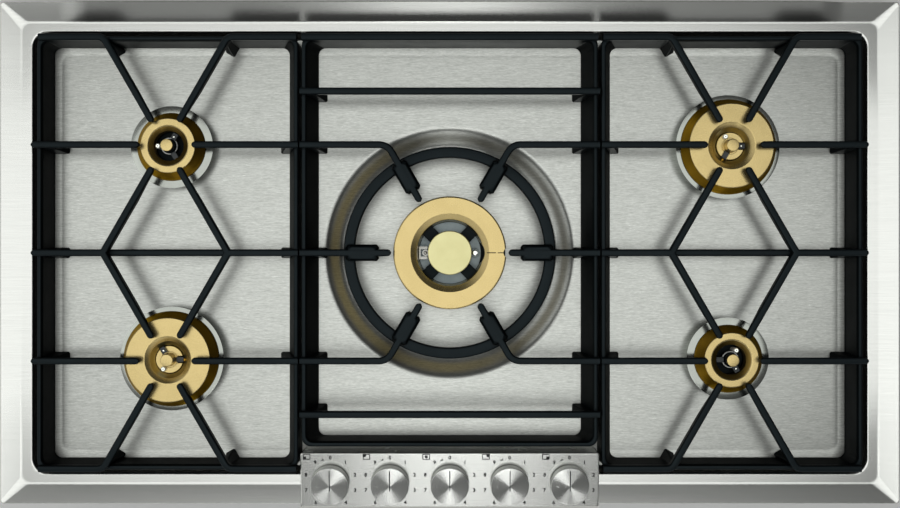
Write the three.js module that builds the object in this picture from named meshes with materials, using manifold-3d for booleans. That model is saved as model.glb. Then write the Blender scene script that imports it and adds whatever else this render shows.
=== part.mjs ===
// Built-in gas cooktop, 90 cm wide, with four corner burners, a wok burner and three lift-off pan supports.
// Millimetres, +Z up, +Y to the rear. The flat bottom of the casing is z = 0.
import * as THREE from "three";
import { mergeVertices } from "three/addons/utils/BufferGeometryUtils.js";
import Module from "manifold-3d";

const wasm = await Module();
wasm.setup();

// General
const clearance = 0.3; // gap between pieces that touch
const sheet = 1.2; // pressed sheet of the plate and the casing
const cornerSteps = 3; // straight steps in a rounded corner
const roundSides = 24; // sides of the large turned pieces
const smallSides = 10; // sides of the small turned pieces
const pipeSides = 8;

// Plate: outer rim, slope down to a flat band, well with a dish
const rimWidth = 904;
const rimDepth = 504.8;
const rimHeight = 8; // worktop to the rim's outer edge
const rimCorner = 3;
const slopeWidth = 19.6;
const slopeDrop = 6;
const sideBand = 9.5; // flat band at the sides
const endBand = 8.4; // flat band at the front and the rear
const rearRise = 6; // the middle of the rear edge stands higher
const rearRiseHalf = 362; // half of the raised stretch
const rearJoggle = 36; // length of the ramp at each end of it
const joggleSteps = 3;
const wellDepth = 23;
const wellCorner = 15;
const wellDraft = 2;
const wellFillet = 2;
const lipRound = 2.5;
const dishRadius = 131;
const dishFloorRadius = 108;
const dishDepth = 10;
const dishSides = 30;
const dishSteps = 3;

// Casing and seal
const casingSideInset = 25.5; // rim's edge to the casing, at the sides
const casingEndInset = 11.4; // the same, front and rear
const casingHeight = 60; // below the worktop
const casingCorner = 6;
const sealInset = 2.4; // rim's edge to the seal
const sealWidth = 7;

// Control panel
const panelDepth = 55.5; // rear edge to front edge, seen from above
const panelOverhang = 1.7; // in front of the rim
const panelRear = 22; // height of the rear edge over the band
const panelFront = 14; // height of the front edge over the band
const panelSheet = 1.4;
const panelOver = 0.4; // panel's side walls over the plate they cover
const knobRow = 30.5; // rear edge to the knobs' axes, along the face
const knobPitch = 59.35;

// Knobs and valves, along the knob's axis
const knobRadius = 18.9;
const knobHeight = 10.5;
const knobTravel = 2.5; // push before the knob turns
const knobFloat = 0.5; // gap left under a pushed knob
const knobEdge = 0.5;
const knobSkin = 2.2; // metal over the spindle's end
const spindleRadius = 4;
const spindleFlat = 2.8; // axis to the flat that drives the knob and the plug
const spindlePlay = 0.8; // spindle to the hole in the panel
const valveTop = 8; // panel face to the valve body
const valveRoof = 4;
const valveRadius = 10;
const valveWall = 2.7;
const valveBase = 4;
const valveSides = 10;
const plugLength = 17.4;
const plugSocket = 8;
const outletAbove = 9; // gas outlet over the valve's foot
const bossRadius = 5;
const bossEnd = 11.5; // axis to the outlet's face

// Gas rail and inlet
const railSize = 18;
const railWall = 2;
const railEnd = 14; // rail past the outer valves
const legInset = 8; // rail's end to its leg
const legHalf = 4;
const inletRadius = 5;
const inletStub = 8;
const inletLevel = 18;
const inletInset = 56.5; // casing's side to the inlet's run beside the burners
const nippleRadius = 10.5;
const nippleBore = 7;
const nippleLength = 30;
const nippleProud = 7; // end face of the connection behind the casing
const pipeRadius = 4;
const pipeLevel = 16;
const pipeBend = 5;
const pipeDrop = 8.9; // panel's rear face to the pipes that go down

// Control unit
const unitWidth = 75;
const unitLength = 120;
const unitHeight = 26;
const unitInset = 58.5; // casing's side to the unit's middle
const socketDepth = 6;
const socketRise = 4; // unit's foot to its sockets
const socketHeight = 14;

// Pan supports
const panGap = 6.5; // burner cap to the pan's bottom
const fingerGap = 4.5; // burner ring to the finger over it
const fingerWidth = 7;
const fingerRound = 1.3;
const fingerDraft = 0.9; // taken off each side towards the underside
const fingerDepth = 14;
const tipRadius = 26; // burner axis to the finger tips
const railDrop = 10; // finger top to rail top
const railRidge = 3.8;
const railFoot = 6; // rail width at the well's floor
const innerFoot = 13; // the same where two supports meet
const railLift = 1.5; // rail over the floor
const tallWidth = 7.2; // raised bars over the front and rear rails
const supportCorner = 9;
const sideGap = 5.1; // floor's edge to the support, at the sides
const endGap = 1.9; // floor's edge to the support, front and rear
const jointPlace = 149.45; // between two supports
const jointGap = 1.7;
const barProud = 1; // bar ends past the rail where supports meet
const outerProud = 3.2; // bar ends past the outer rail
const footWidth = 11;
const sideFoot = 20;
const innerSideFoot = 21;
const diagonalFoot = 12;
const gussetTop = 0.6; // share of a foot's length that reaches the bar
const tallProud = 1.4; // raised bars past the rail's outer face
const tallEnd = 4;
const tallBend = 4;
const edgeGap = 0.7;
const railShoulder = 4;
const railEdge = 0.8;
const deepRadius = 62; // burner axis to where the fingers reach their full depth
const centreFrontGap = 5.5; // panel's rear face to the centre support
const longBarInset = 32.9; // front of the centre support to its long bar
const bendRadius = 15;
const connectorDrop = 10;
const connectorDepth = 10;
const wokRingRadius = 106;
const wokRingWidth = 11;
const wokRingDrop = 14;
const wokRingDepth = 9;
const wokTip = 58.3;
const blockInner = 71;
const blockOuter = 100;
const blockTop = 11.2;
const blockBase = 16.6;
const blockDepth = 21;

// Corner burners, from the well's floor
const burnerSideInset = 141.3; // well's side to the burners' axes
const burnerEndInset = 117.3; // well's front or rear to them
const ringHeight = 37.5;
const skirtLevel = 20.5;
const collarLevel = 12;
const lipLevel = 19;
const cupBottom = -30;
const cupFloor = 3;
const hubRadius = 15.5;
const hubLevel = 16;
const postRadius = 7.2;
const postLevel = 22;
const capStand = 6; // cap over the ring
const capRadius = 6.2;
const capStem = 7.4;
const armRadius = 10.8; // igniter, sensor and clip around the cap
const igniterRadius = 2.6;
const sensorRadius = 1.6;
const clipWidth = 7;
const clipDepth = 4.8;
const clipHeight = 4;
const armTop = 31;
const armSink = 9;
const wireRadius = 0.8;
const wireLength = 2;
const wireSides = 6;
const ringSides = 24;
const lipInset = 1.5; // skirt's edge to the outside of the collar's lip
const lipWidth = 3.5;
const collarChamfer = 2;
const shoulderShare = 0.3; // how far the collar's shoulder leans in
const shoulderRise = 4.5;
const ringRound = 1.2;
const ringWall = 2.7;
const capChamfer = 1.6;
const capRound = 0.6;
const capSides = 20;

const smallBurner = {
  skirt: 34.4,
  crestOuter: 28.6,
  crestInner: 24.6,
  throat: 15.2,
  throatLevel: 24,
  collar: 41.6,
  hole: 30,
  plate: 0,
};
const largeBurner = {
  skirt: 48.2,
  crestOuter: 41.8,
  crestInner: 24,
  throat: 19.8,
  throatLevel: 31,
  collar: 52.5,
  hole: 36,
  plate: 13.65,
};
const capPlateTop = 29.6;
const capPlateEdge = 3;

// Wok burner, from the dish's floor
const wokRing = 56.5;
const wokFlat = 39.2;
const wokThroat = 31.8;
const wokBevel = 7.5;
const wokBaseLevel = 24;
const wokBaseRadius = 52;
const wokHub = 19;
const wokCap = 22;
const wokCapThick = 7.2;
const wokSpokeWidth = 13;
const wokSpokeTop = 30;
const wokWindow = 18; // floor between the spokes
const wokSump = -21;
const wokSumpRadius = 22;
const wokArm = 25.5;
const wokArmTop = 32;
const wokIgniter = 3;
const keyholeRadius = 14.5;
const keyholePlace = 20.6;
const notchRadius = 5.4;
const notchPlace = 59;
const slitWidth = 0.7;
const slitDepth = 0.8;
const wokLip = 4.5; // base's edge to the inside of its rim
const wokWall = 6.7;
const wokRound = 0.9;
const wokChamfer = 2;
const wokBaseTaper = 4;
const wokBaseRise = 6;
const wokBaseWall = 6;
const wokThroatLean = 1.4;
const wokThroatRise = 1.5;
const bracketDepth = 8;
const bracketWidth = 13;
const bracketThick = 2;
const bracketDrop = 3; // igniter's top to the bracket's

const radians = THREE.MathUtils.degToRad;
const halfWidth = rimWidth / 2;
const halfDepth = rimDepth / 2;
const worktop = casingHeight;
const bandTop = worktop + rimHeight - slopeDrop;
const floorTop = bandTop - wellDepth;
const dishTop = floorTop - dishDepth;
const casingWidth = rimWidth - 2 * casingSideInset;
const casingDepth = rimDepth - 2 * casingEndInset;
const inletSide = casingWidth / 2 - inletInset;
const nippleReach = casingDepth / 2 + nippleProud;
const unitPlace = casingWidth / 2 - unitInset;
const wellX = halfWidth - slopeWidth - sideBand;
const wellY = halfDepth - slopeWidth - endBand;
const floorInset = lipRound + wellDraft + wellFillet;
const floorX = wellX - floorInset;
const floorY = wellY - floorInset;
const burnerX = wellX - burnerSideInset;
const burnerY = wellY - burnerEndInset;
const capTop = ringHeight + capStand;
const fingerTop = floorTop + capTop + panGap;
const tipDepth = capStand + panGap - fingerGap;
const railTop = fingerTop - railDrop;
const supportX = floorX - sideGap;
const supportY = floorY - endGap;
const centreHalf = jointPlace - jointGap / 2;
const cornerInner = jointPlace + jointGap / 2;
const panelHalf = centreHalf;
const panelFrontY = -halfDepth - panelOverhang;
const panelRearY = panelFrontY + panelDepth;
const centreFront = -panelRearY - centreFrontGap;
const longBar = centreFront - longBarInset;
const panelTilt = Math.atan2(panelRear - panelFront, panelDepth);
const knobGap = knobTravel + knobFloat;
const holeRadius = spindleRadius + spindlePlay;
const knobAxisY = panelRearY - knobRow * Math.cos(panelTilt);
const knobAxisZ = bandTop + panelRear - knobRow * Math.sin(panelTilt);
const valveFootLevel = -valveTop - valveRoof - plugLength - 2 * clearance - valveBase;

const burnerPlaces = [
  { name: "left_front", x: -burnerX, y: -burnerY, kind: largeBurner },
  { name: "left_rear", x: -burnerX, y: burnerY, kind: smallBurner },
  { name: "right_rear", x: burnerX, y: burnerY, kind: largeBurner },
  { name: "right_front", x: burnerX, y: -burnerY, kind: smallBurner },
];
const armAngles = {
  left_front: { igniterAngle: 240, sensorAngle: 120, clipAngle: 0 },
  left_rear: { igniterAngle: 180, sensorAngle: 60, clipAngle: 300 },
  right_rear: { igniterAngle: 120, sensorAngle: 0, clipAngle: 240 },
  right_front: { igniterAngle: 60, sensorAngle: 300, clipAngle: 180 },
};
for (const place of burnerPlaces) Object.assign(place, armAngles[place.name]);
const knobNames = ["left_front", "left_rear", "wok", "right_rear", "right_front"];
const knobPlaces = knobNames.map((name, i) => ({ name, x: (i - 2) * knobPitch }));

const steel = { color: 0xc4c6c2, metalness: 1, roughness: 0.35 };
const polished = { color: 0xd8dad6, metalness: 1, roughness: 0.12 };
const zinc = { color: 0x9b9e9c, metalness: 0.9, roughness: 0.5 };
const brass = { color: 0xd6c088, metalness: 1, roughness: 0.3 };
const paleBrass = { color: 0xd4d29e, metalness: 1, roughness: 0.35 };
const iron = { color: 0x1c2224, metalness: 0.2, roughness: 0.5 };
const ceramic = { color: 0xf2f2ee, metalness: 0, roughness: 0.3 };
const rubber = { color: 0x202020, metalness: 0, roughness: 0.8 };
const plastic = { color: 0x303234, metalness: 0, roughness: 0.6 };

// A closed geometry as a solid. Its vertices are merged and its faces turned outwards.
function solid(geometry) {
  const bare = geometry.index ? geometry.toNonIndexed() : geometry.clone();
  bare.deleteAttribute("normal");
  bare.deleteAttribute("uv");
  const merged = mergeVertices(bare, 1e-4);
  const points = merged.attributes.position.array;
  const index = merged.index.array;
  const corner = (i) => new THREE.Vector3().fromArray(points, 3 * i);
  const faces = [];
  let volume = 0;
  for (let i = 0; i < index.length; i += 3) {
    const [a, b, c] = index.slice(i, i + 3);
    if (a === b || b === c || c === a) continue;
    faces.push([a, b, c]);
    volume += corner(a).dot(corner(b).cross(corner(c)));
  }
  const turned = volume < 0 ? faces.map(([a, b, c]) => [a, c, b]) : faces;
  return new wasm.Manifold(
    new wasm.Mesh({
      numProp: 3,
      vertProperties: new Float32Array(points),
      triVerts: new Uint32Array(turned.flat()),
    }),
  );
}

// The named mesh of a solid.
function piece(name, body, look) {
  const mesh = body.getMesh();
  const geometry = new THREE.BufferGeometry();
  geometry.setAttribute("position", new THREE.BufferAttribute(mesh.vertProperties, 3));
  geometry.setIndex(new THREE.BufferAttribute(mesh.triVerts, 1));
  geometry.computeVertexNormals();
  const made = new THREE.Mesh(geometry, new THREE.MeshStandardMaterial(look));
  made.name = name;
  return made;
}

const join = (first, ...rest) => rest.reduce((whole, next) => whole.add(next), first);
const cut = (first, ...rest) => rest.reduce((whole, next) => whole.subtract(next), first);

function block(x0, x1, y0, y1, z0, z1) {
  const geometry = new THREE.BoxGeometry(x1 - x0, y1 - y0, z1 - z0);
  return solid(geometry.translate((x0 + x1) / 2, (y0 + y1) / 2, (z0 + z1) / 2));
}

// A round bar or bore along Z.
function rod(radius, z0, z1, sides = smallSides, x = 0, y = 0) {
  const geometry = new THREE.CylinderGeometry(radius, radius, z1 - z0, sides);
  return solid(geometry.rotateX(Math.PI / 2).translate(x, y, (z0 + z1) / 2));
}

// A turned piece from its [radius, height] profile, which starts and ends on the axis or closes on itself.
function turned(profile, sides = roundSides) {
  const loop = profile[0][0] === 0 ? profile : [...profile, profile[0]];
  const points = loop.map(([radius, height]) => new THREE.Vector2(radius, height));
  return solid(new THREE.LatheGeometry(points, sides).rotateX(Math.PI / 2));
}

// A side profile in [y, z], drawn out along X.
function prism(profile, x0, x1) {
  const shape = new THREE.Shape(profile.map(([y, z]) => new THREE.Vector2(y, z)));
  const geometry = new THREE.ExtrudeGeometry(shape, { depth: x1 - x0, bevelEnabled: false });
  return solid(geometry.rotateX(Math.PI / 2).rotateZ(Math.PI / 2).translate(x0, 0, 0));
}

// Rings of points with equal counts, skinned one to the next.
// A loop closes on itself, otherwise the ends are capped.
function skin(rings, looped) {
  const count = rings[0].length;
  const triangles = [];
  const spans = looped ? rings.length : rings.length - 1;
  for (let k = 0; k < spans; k += 1) {
    const low = rings[k];
    const high = rings[(k + 1) % rings.length];
    for (let i = 0; i < count; i += 1) {
      const j = (i + 1) % count;
      triangles.push(low[i], low[j], high[j], low[i], high[j], high[i]);
    }
  }
  if (!looped) {
    for (const [ring, flip] of [[rings[0], true], [rings[rings.length - 1], false]]) {
      const middle = ring.reduce((sum, p) => sum.add(p), new THREE.Vector3()).divideScalar(count);
      for (let i = 0; i < count; i += 1) {
        const pair = [ring[i], ring[(i + 1) % count]];
        triangles.push(middle, ...(flip ? pair.reverse() : pair));
      }
    }
  }
  return solid(new THREE.BufferGeometry().setFromPoints(triangles));
}

// A rounded rectangle, anticlockwise. Extra stops on its rear side let that side rise.
function outline(x0, x1, y0, y1, radius, z, rearStops = [], rise = () => 0) {
  const corners = [
    [x1 - radius, y0 + radius, -90],
    [x1 - radius, y1 - radius, 0],
    [x0 + radius, y1 - radius, 90],
    [x0 + radius, y0 + radius, 180],
  ];
  return corners.flatMap(([x, y, start], side) => {
    const arc = Array.from({ length: cornerSteps + 1 }, (_, i) => {
      const angle = radians(start + (90 * i) / cornerSteps);
      return new THREE.Vector3(x + radius * Math.cos(angle), y + radius * Math.sin(angle), z);
    });
    const stops = side === 1 ? rearStops.map((stop) => new THREE.Vector3(stop, y1, z + rise(stop))) : [];
    return [...arc, ...stops];
  });
}

// Rounds the corners of a route in 3-D.
function rounded(route, radius, steps = cornerSteps) {
  const points = [route[0]];
  for (let i = 1; i < route.length - 1; i += 1) {
    const before = route[i - 1].clone().sub(route[i]).normalize();
    const after = route[i + 1].clone().sub(route[i]).normalize();
    const half = before.angleTo(after) / 2;
    const reach = radius / Math.tan(half);
    const start = route[i].clone().addScaledVector(before, reach);
    const end = route[i].clone().addScaledVector(after, reach);
    const bend = new THREE.QuadraticBezierCurve3(start, route[i], end);
    points.push(...bend.getPoints(steps));
  }
  points.push(route[route.length - 1]);
  return points;
}

// A round tube's outside along a route with rounded corners. Its rings lie in the mitre planes between steps.
function tube(route, radius, bend) {
  const points = rounded(route, bend);
  const steps = points.slice(1).map((point, i) => point.clone().sub(points[i]).normalize());
  const guess = new THREE.Vector3(steps[0].y, steps[0].z, steps[0].x);
  const side = guess.addScaledVector(steps[0], -guess.dot(steps[0])).normalize();
  const up = steps[0].clone().cross(side);
  const rings = [
    Array.from({ length: pipeSides }, (_, k) => {
      const angle = (2 * Math.PI * k) / pipeSides;
      const spoke = side.clone().multiplyScalar(radius * Math.cos(angle));
      return spoke.addScaledVector(up, radius * Math.sin(angle)).add(points[0]);
    }),
  ];
  steps.forEach((step, i) => {
    const mitre = step.clone().add(steps[i + 1] ?? step).normalize();
    const next = rings[i].map((point) => {
      const run = points[i + 1].clone().sub(point).dot(mitre) / step.dot(mitre);
      return point.clone().addScaledVector(step, run);
    });
    rings.push(next);
  });
  return skin(rings, false);
}

// A cast bar along a route in plan. Each stop is [x, y, depth], and a rounded end is narrower.
function bar(stops, { top = fingerTop, width = fingerWidth, roundStart = false, roundEnd = false } = {}) {
  const nose = width / 4;
  const noseNarrow = 0.5;
  const flat = (stop) => new THREE.Vector2(stop[0], stop[1]);
  const stations = stops.map((stop) => ({ at: flat(stop), depth: stop[2], narrow: 1 }));
  const noseStations = (end, inner) => {
    const along = inner.at.clone().sub(end.at).normalize();
    return [noseNarrow, 1].map((narrow, back) => ({
      at: end.at.clone().addScaledVector(along, back * nose),
      depth: end.depth,
      narrow,
    }));
  };
  const last = stations.length - 1;
  const head = roundStart ? noseStations(stations[0], stations[1]) : [stations[0]];
  const tail = roundEnd ? noseStations(stations[last], stations[last - 1]).reverse() : [stations[last]];
  const all = [...head, ...stations.slice(1, last), ...tail];
  const rings = all.map(({ at, depth, narrow }, i) => {
    const into = at.clone().sub(all[Math.max(i - 1, 0)].at).normalize();
    const out = all[Math.min(i + 1, all.length - 1)].at.clone().sub(at).normalize();
    const along = into.clone().add(out).normalize();
    const mitre = 1 / Math.max(along.dot(i ? into : out), 0.5);
    const across = new THREE.Vector2(-along.y, along.x).multiplyScalar(mitre * narrow);
    const half = width / 2;
    const section = [
      [-half + fingerDraft, top - depth],
      [half - fingerDraft, top - depth],
      [half, top - fingerRound],
      [half - fingerRound, top],
      [-half + fingerRound, top],
      [-half, top - fingerRound],
    ];
    return section.map(([a, z]) => new THREE.Vector3(at.x + across.x * a, at.y + across.y * a, z));
  });
  return skin(rings, false);
}

// Hob plate
function risingEdge(stop) {
  const t = THREE.MathUtils.clamp((rearRiseHalf + rearJoggle - Math.abs(stop)) / rearJoggle, 0, 1);
  return rearRise * t * t * (3 - 2 * t);
}

function hobPlate() {
  const ramp = Array.from({ length: joggleSteps + 1 }, (_, i) => {
    return rearRiseHalf + rearJoggle * (1 - i / joggleSteps);
  });
  const rearStops = [...ramp, ...ramp.map((stop) => -stop).reverse()];
  const ring = (insetX, insetY, radius, z, raised = 0) =>
    outline(
      insetX - halfWidth, halfWidth - insetX, insetY - halfDepth, halfDepth - insetY,
      radius, z, rearStops, (stop) => raised * risingEdge(stop),
    );
  const rimTop = worktop + rimHeight;
  const edge = 0.8;
  const lipX = slopeWidth + sideBand;
  const lipY = slopeWidth + endBand;
  const eighth = Math.SQRT1_2;
  const at = (reach, radius, z) => ring(lipX + reach, lipY + reach, radius, z);
  const wall = lipRound + wellDraft;
  const innerSlope = slopeDrop * (1 - sheet / slopeWidth);
  const upper = [
    ring(0, 0, rimCorner, worktop),
    ring(0, 0, rimCorner, rimTop - edge, 1),
    ring(edge, edge, rimCorner, rimTop, 1),
    ring(slopeWidth, slopeWidth, rimCorner, bandTop),
    at(0, wellCorner, bandTop),
    at(lipRound * (1 - eighth), wellCorner, bandTop - lipRound * (1 - eighth)),
    at(lipRound, wellCorner, bandTop - lipRound),
    at(wall, wellCorner, floorTop + wellFillet),
    at(wall + wellFillet * (1 - eighth), wellCorner, floorTop + wellFillet * (1 - eighth)),
    at(wall + wellFillet, wellCorner - wellFillet, floorTop),
  ];
  const lower = [
    at(wall + wellFillet, wellCorner - wellFillet, floorTop - sheet),
    at(wall - sheet * eighth, wellCorner, floorTop + wellFillet - (wellFillet + sheet) * eighth),
    at(wall - sheet, wellCorner, floorTop + wellFillet),
    at(lipRound - sheet, wellCorner, bandTop - lipRound),
    at(0, wellCorner, bandTop - sheet),
    ring(slopeWidth, slopeWidth, rimCorner, bandTop - sheet),
    ring(sheet, sheet, rimCorner, bandTop - sheet + innerSlope, 1),
    ring(sheet, sheet, rimCorner, worktop),
  ];
  const middle = (z) => upper[0].map(() => new THREE.Vector3(0, 0, z));
  const shell = skin([...upper, middle(floorTop), middle(floorTop - sheet), ...lower], true);
  const curve = Array.from({ length: dishSteps + 1 }, (_, i) => {
    const t = i / dishSteps;
    return [dishRadius + (dishFloorRadius - dishRadius) * t, floorTop - dishDepth * t * t * (3 - 2 * t)];
  });
  const seam = 1.5;
  const tuck = 0.1;
  const dish = turned(
    [
      [0, dishTop],
      ...curve.slice(1).reverse(),
      [dishRadius, floorTop - tuck],
      [dishRadius + seam, floorTop - tuck],
      [dishRadius + seam, floorTop - sheet + tuck],
      ...curve.slice(1).map(([radius, z]) => [radius, z - sheet]),
      [0, dishTop - sheet],
    ],
    dishSides,
  );
  const opened = cut(shell, rod(dishRadius, dishTop, bandTop, dishSides));
  const corners = burnerPlaces.map(({ x, y, kind }) => rod(kind.hole, dishTop, bandTop, roundSides, x, y));
  const panelHole = block(
    -panelHalf + 3 * panelSheet, panelHalf - 3 * panelSheet,
    -casingDepth / 2 + 2 * sheet, panelRearY - 3 * panelSheet,
    dishTop, worktop + rimHeight + rearRise,
  );
  const sump = rod(wokSumpRadius + clearance, wokSump, bandTop, roundSides);
  return piece("hob_plate", cut(join(opened, dish), ...corners, panelHole, sump), steel);
}

// Casing and seal
function lowerCasing() {
  const x = casingWidth / 2;
  const y = casingDepth / 2;
  const top = bandTop - sheet - clearance;
  const ring = (inset, z) => outline(inset - x, x - inset, inset - y, y - inset, casingCorner - inset, z);
  const middle = (z) => ring(0, z).map(() => new THREE.Vector3(0, 0, z));
  const tray = skin(
    [middle(0), ring(0, 0), ring(0, top), ring(sheet, top), ring(sheet, sheet), middle(sheet)],
    true,
  );
  const exit = solid(
    new THREE.CylinderGeometry(nippleRadius + clearance, nippleRadius + clearance, 6 * sheet, smallSides)
      .translate(inletSide, y, inletLevel),
  );
  return piece("lower_casing", cut(tray, exit), zinc);
}

function rimSeal() {
  const near = sheet + sealInset;
  const far = near + sealWidth;
  const under = (inset) => bandTop - sheet - clearance + slopeDrop * (1 - inset / slopeWidth);
  const ring = (inset, z) =>
    outline(inset - halfWidth, halfWidth - inset, inset - halfDepth, halfDepth - inset, rimCorner, z);
  const strip = skin(
    [ring(near, worktop), ring(near, under(near)), ring(far, under(far)), ring(far, worktop)],
    true,
  );
  return piece("rim_seal", strip, rubber);
}

// Control panel
function controlPanel() {
  const foot = floorTop + clearance;
  const slopeStart = -halfDepth + slopeWidth;
  const wellEdge = -wellY + floorInset + 1;
  const innerFront = panelFrontY + panelSheet;
  const rearTop = bandTop + panelRear;
  const frontTop = bandTop + panelFront;
  const outer = [
    [panelRearY, foot],
    [panelRearY, rearTop],
    [panelFrontY, frontTop],
    [panelFrontY, worktop + 1],
    [innerFront, worktop + 1],
    [innerFront, worktop + rimHeight + panelOver],
    [-halfDepth + 1, worktop + rimHeight + panelOver],
    [slopeStart, bandTop + panelOver],
    [wellEdge, bandTop + panelOver],
    [wellEdge, foot],
  ];
  const drop = panelSheet / Math.cos(panelTilt);
  const slope = Math.tan(panelTilt);
  const inner = [
    [panelRearY - panelSheet, worktop - wellDepth - rimHeight],
    [panelRearY - panelSheet, rearTop - drop - panelSheet * slope],
    [innerFront, frontTop - drop + panelSheet * slope],
    [innerFront, worktop - wellDepth - rimHeight],
  ];
  const box = cut(
    prism(outer, -panelHalf, panelHalf),
    prism(inner, -panelHalf + panelSheet, panelHalf - panelSheet),
  );
  const holes = knobPlaces.map(({ x }) => {
    const bore = new THREE.CylinderGeometry(holeRadius, holeRadius, 6 * panelSheet, smallSides);
    return solid(bore.rotateX(Math.PI / 2 + panelTilt).translate(x, knobAxisY, knobAxisZ));
  });
  return piece("control_panel", cut(box, ...holes), steel);
}

// Knob, spindle, valve plug and valve body on one axis. Height 0 is the panel's face.
function keyed(radius, z0, z1, flat) {
  const beyond = 2 * radius;
  return cut(rod(radius, z0, z1), block(flat, beyond, -beyond, beyond, z0 - 1, z1 + 1));
}

function knobSet(place) {
  const bore = spindleRadius + clearance;
  const boreFlat = spindleFlat + clearance;
  const knobTop = knobGap + knobHeight;
  const boreTop = knobTop - knobSkin;
  const cavityTop = -valveTop - valveRoof;
  const plugTop = cavityTop - clearance;
  const plugFoot = plugTop - plugLength;
  const cavityFoot = plugFoot - clearance;
  const plugRadius = (valveRadius - valveWall) * Math.cos(Math.PI / valveSides) - clearance;
  const socketFoot = plugTop - plugSocket;
  const knob = cut(
    turned([
      [0, knobGap],
      [knobRadius - knobEdge, knobGap],
      [knobRadius, knobGap + knobEdge],
      [knobRadius, knobTop - knobEdge],
      [knobRadius - knobEdge, knobTop],
      [0, knobTop],
    ]),
    keyed(bore, knobGap - 1, boreTop, boreFlat),
  );
  const spindle = keyed(spindleRadius, socketFoot + knobTravel + clearance, boreTop - clearance, spindleFlat);
  const plug = cut(
    turned([[0, plugFoot], [plugRadius, plugFoot], [plugRadius, plugTop], [0, plugTop]], valveSides),
    keyed(bore, socketFoot, plugTop + 1, boreFlat),
  );
  const body = join(
    turned(
      [
        [0, valveFootLevel],
        [valveRadius, valveFootLevel],
        [valveRadius, -valveTop],
        [holeRadius, -valveTop],
        [holeRadius, cavityTop],
        [valveRadius - valveWall, cavityTop],
        [valveRadius - valveWall, cavityFoot],
        [0, cavityFoot],
      ],
      valveSides,
    ),
    outletBoss(),
  );
  const set = new THREE.Group();
  set.position.set(place.x, knobAxisY, knobAxisZ);
  set.rotation.x = panelTilt;
  set.add(
    piece("knob_" + place.name, knob, steel),
    piece("knob_spindle_" + place.name, spindle, steel),
    piece("valve_plug_" + place.name, plug, paleBrass),
    piece("valve_body_" + place.name, body, zinc),
  );
  return set;
}

function outletBoss() {
  const start = valveRadius - valveWall / 2;
  const boss = new THREE.CylinderGeometry(bossRadius, bossRadius, bossEnd - start, valveSides);
  return solid(boss.translate(0, (start + bossEnd) / 2, valveFootLevel + outletAbove));
}

// Gas rail under the valves, on two legs, and the inlet pipe that feeds it from the rear
const faceFrame = new THREE.Matrix4()
  .makeRotationX(panelTilt)
  .setPosition(0, knobAxisY, knobAxisZ);

function gasManifold() {
  const end = 2 * knobPitch + railEnd;
  const top = valveFootLevel - clearance;
  const half = railSize / 2;
  const bore = half - railWall;
  const middle = top - half;
  const tilted = (x0, x1, y0, y1, z0, z1) =>
    solid(
      new THREE.BoxGeometry(x1 - x0, y1 - y0, z1 - z0)
        .translate((x0 + x1) / 2, (y0 + y1) / 2, (z0 + z1) / 2)
        .applyMatrix4(faceFrame),
    );
  const tubeBody = tilted(-end, end, -half, half, top - railSize, top);
  const hollow = tilted(railWall - end, end - railWall, -bore, bore, middle - bore, middle + bore);
  const opening = bore / 2;
  const mouth = tilted(end - 2 * railWall, end + 1, -opening, opening, middle - opening, middle + opening);
  const under = new THREE.Vector3(0, 0, middle).applyMatrix4(faceFrame);
  const foot = sheet + clearance;
  const legs = [-1, 1].map((side) => {
    const x = side * (end - legInset);
    return block(x - legHalf, x + legHalf, under.y - legHalf, under.y + legHalf, foot, under.z - half + 1);
  });
  return piece("gas_manifold", cut(join(tubeBody, ...legs), hollow, mouth), zinc);
}

function gasInlet() {
  const middle = valveFootLevel - clearance - railSize / 2;
  const start = new THREE.Vector3(2 * knobPitch + railEnd + clearance, 0, middle).applyMatrix4(faceFrame);
  const shoulder = nippleReach - nippleLength;
  const route = [
    start,
    start.clone().add(new THREE.Vector3(inletStub, 0, 0)),
    new THREE.Vector3(start.x + inletStub, start.y, inletLevel),
    new THREE.Vector3(inletSide, start.y, inletLevel),
    new THREE.Vector3(inletSide, shoulder + 1, inletLevel),
  ];
  const along = (radius, y0, y1) =>
    solid(
      new THREE.CylinderGeometry(radius, radius, y1 - y0, smallSides)
        .translate(inletSide, (y0 + y1) / 2, inletLevel),
    );
  const nipple = along(nippleRadius, shoulder, nippleReach);
  const bore = along(nippleBore, shoulder + inletRadius, nippleReach + 1);
  return piece("gas_inlet", cut(join(tube(route, inletRadius, inletRadius + 0.5), nipple), bore), zinc);
}

function burnerPipe(place, target, reach) {
  const start = new THREE.Vector3(place.x, bossEnd + clearance, valveFootLevel + outletAbove);
  start.applyMatrix4(faceFrame);
  const drop = panelRearY - pipeDrop;
  const turn = new THREE.Vector3(place.x, drop, start.z + (drop - start.y) * Math.tan(panelTilt));
  const low = new THREE.Vector3(place.x, drop, pipeLevel);
  const aim = new THREE.Vector3(target.x, target.y, pipeLevel);
  const back = low.clone().sub(aim).setLength(reach + clearance);
  const route = [start, turn, low, aim.clone().add(back)];
  return piece("pipe_" + place.name, tube(route, pipeRadius, pipeBend), paleBrass);
}

function controlUnit() {
  const foot = sheet + clearance;
  const x0 = -unitPlace - unitWidth / 2;
  const x1 = -unitPlace + unitWidth / 2;
  const y = unitLength / 2;
  const box = block(x0, x1, -y, y, foot, foot + unitHeight);
  const side = y - unitWidth / 4;
  const low = foot + socketRise;
  const sockets = block(x1 - 1, x1 + socketDepth, -side, side, low, low + socketHeight);
  return piece("control_unit", join(box, sockets), plastic);
}

// Pan supports
const diagonal = Math.PI / 3;
const junction = burnerY / Math.tan(diagonal);
const tallY = supportY + tallProud - tallWidth / 2;
const underFinger = fingerTop - fingerDepth;

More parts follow.
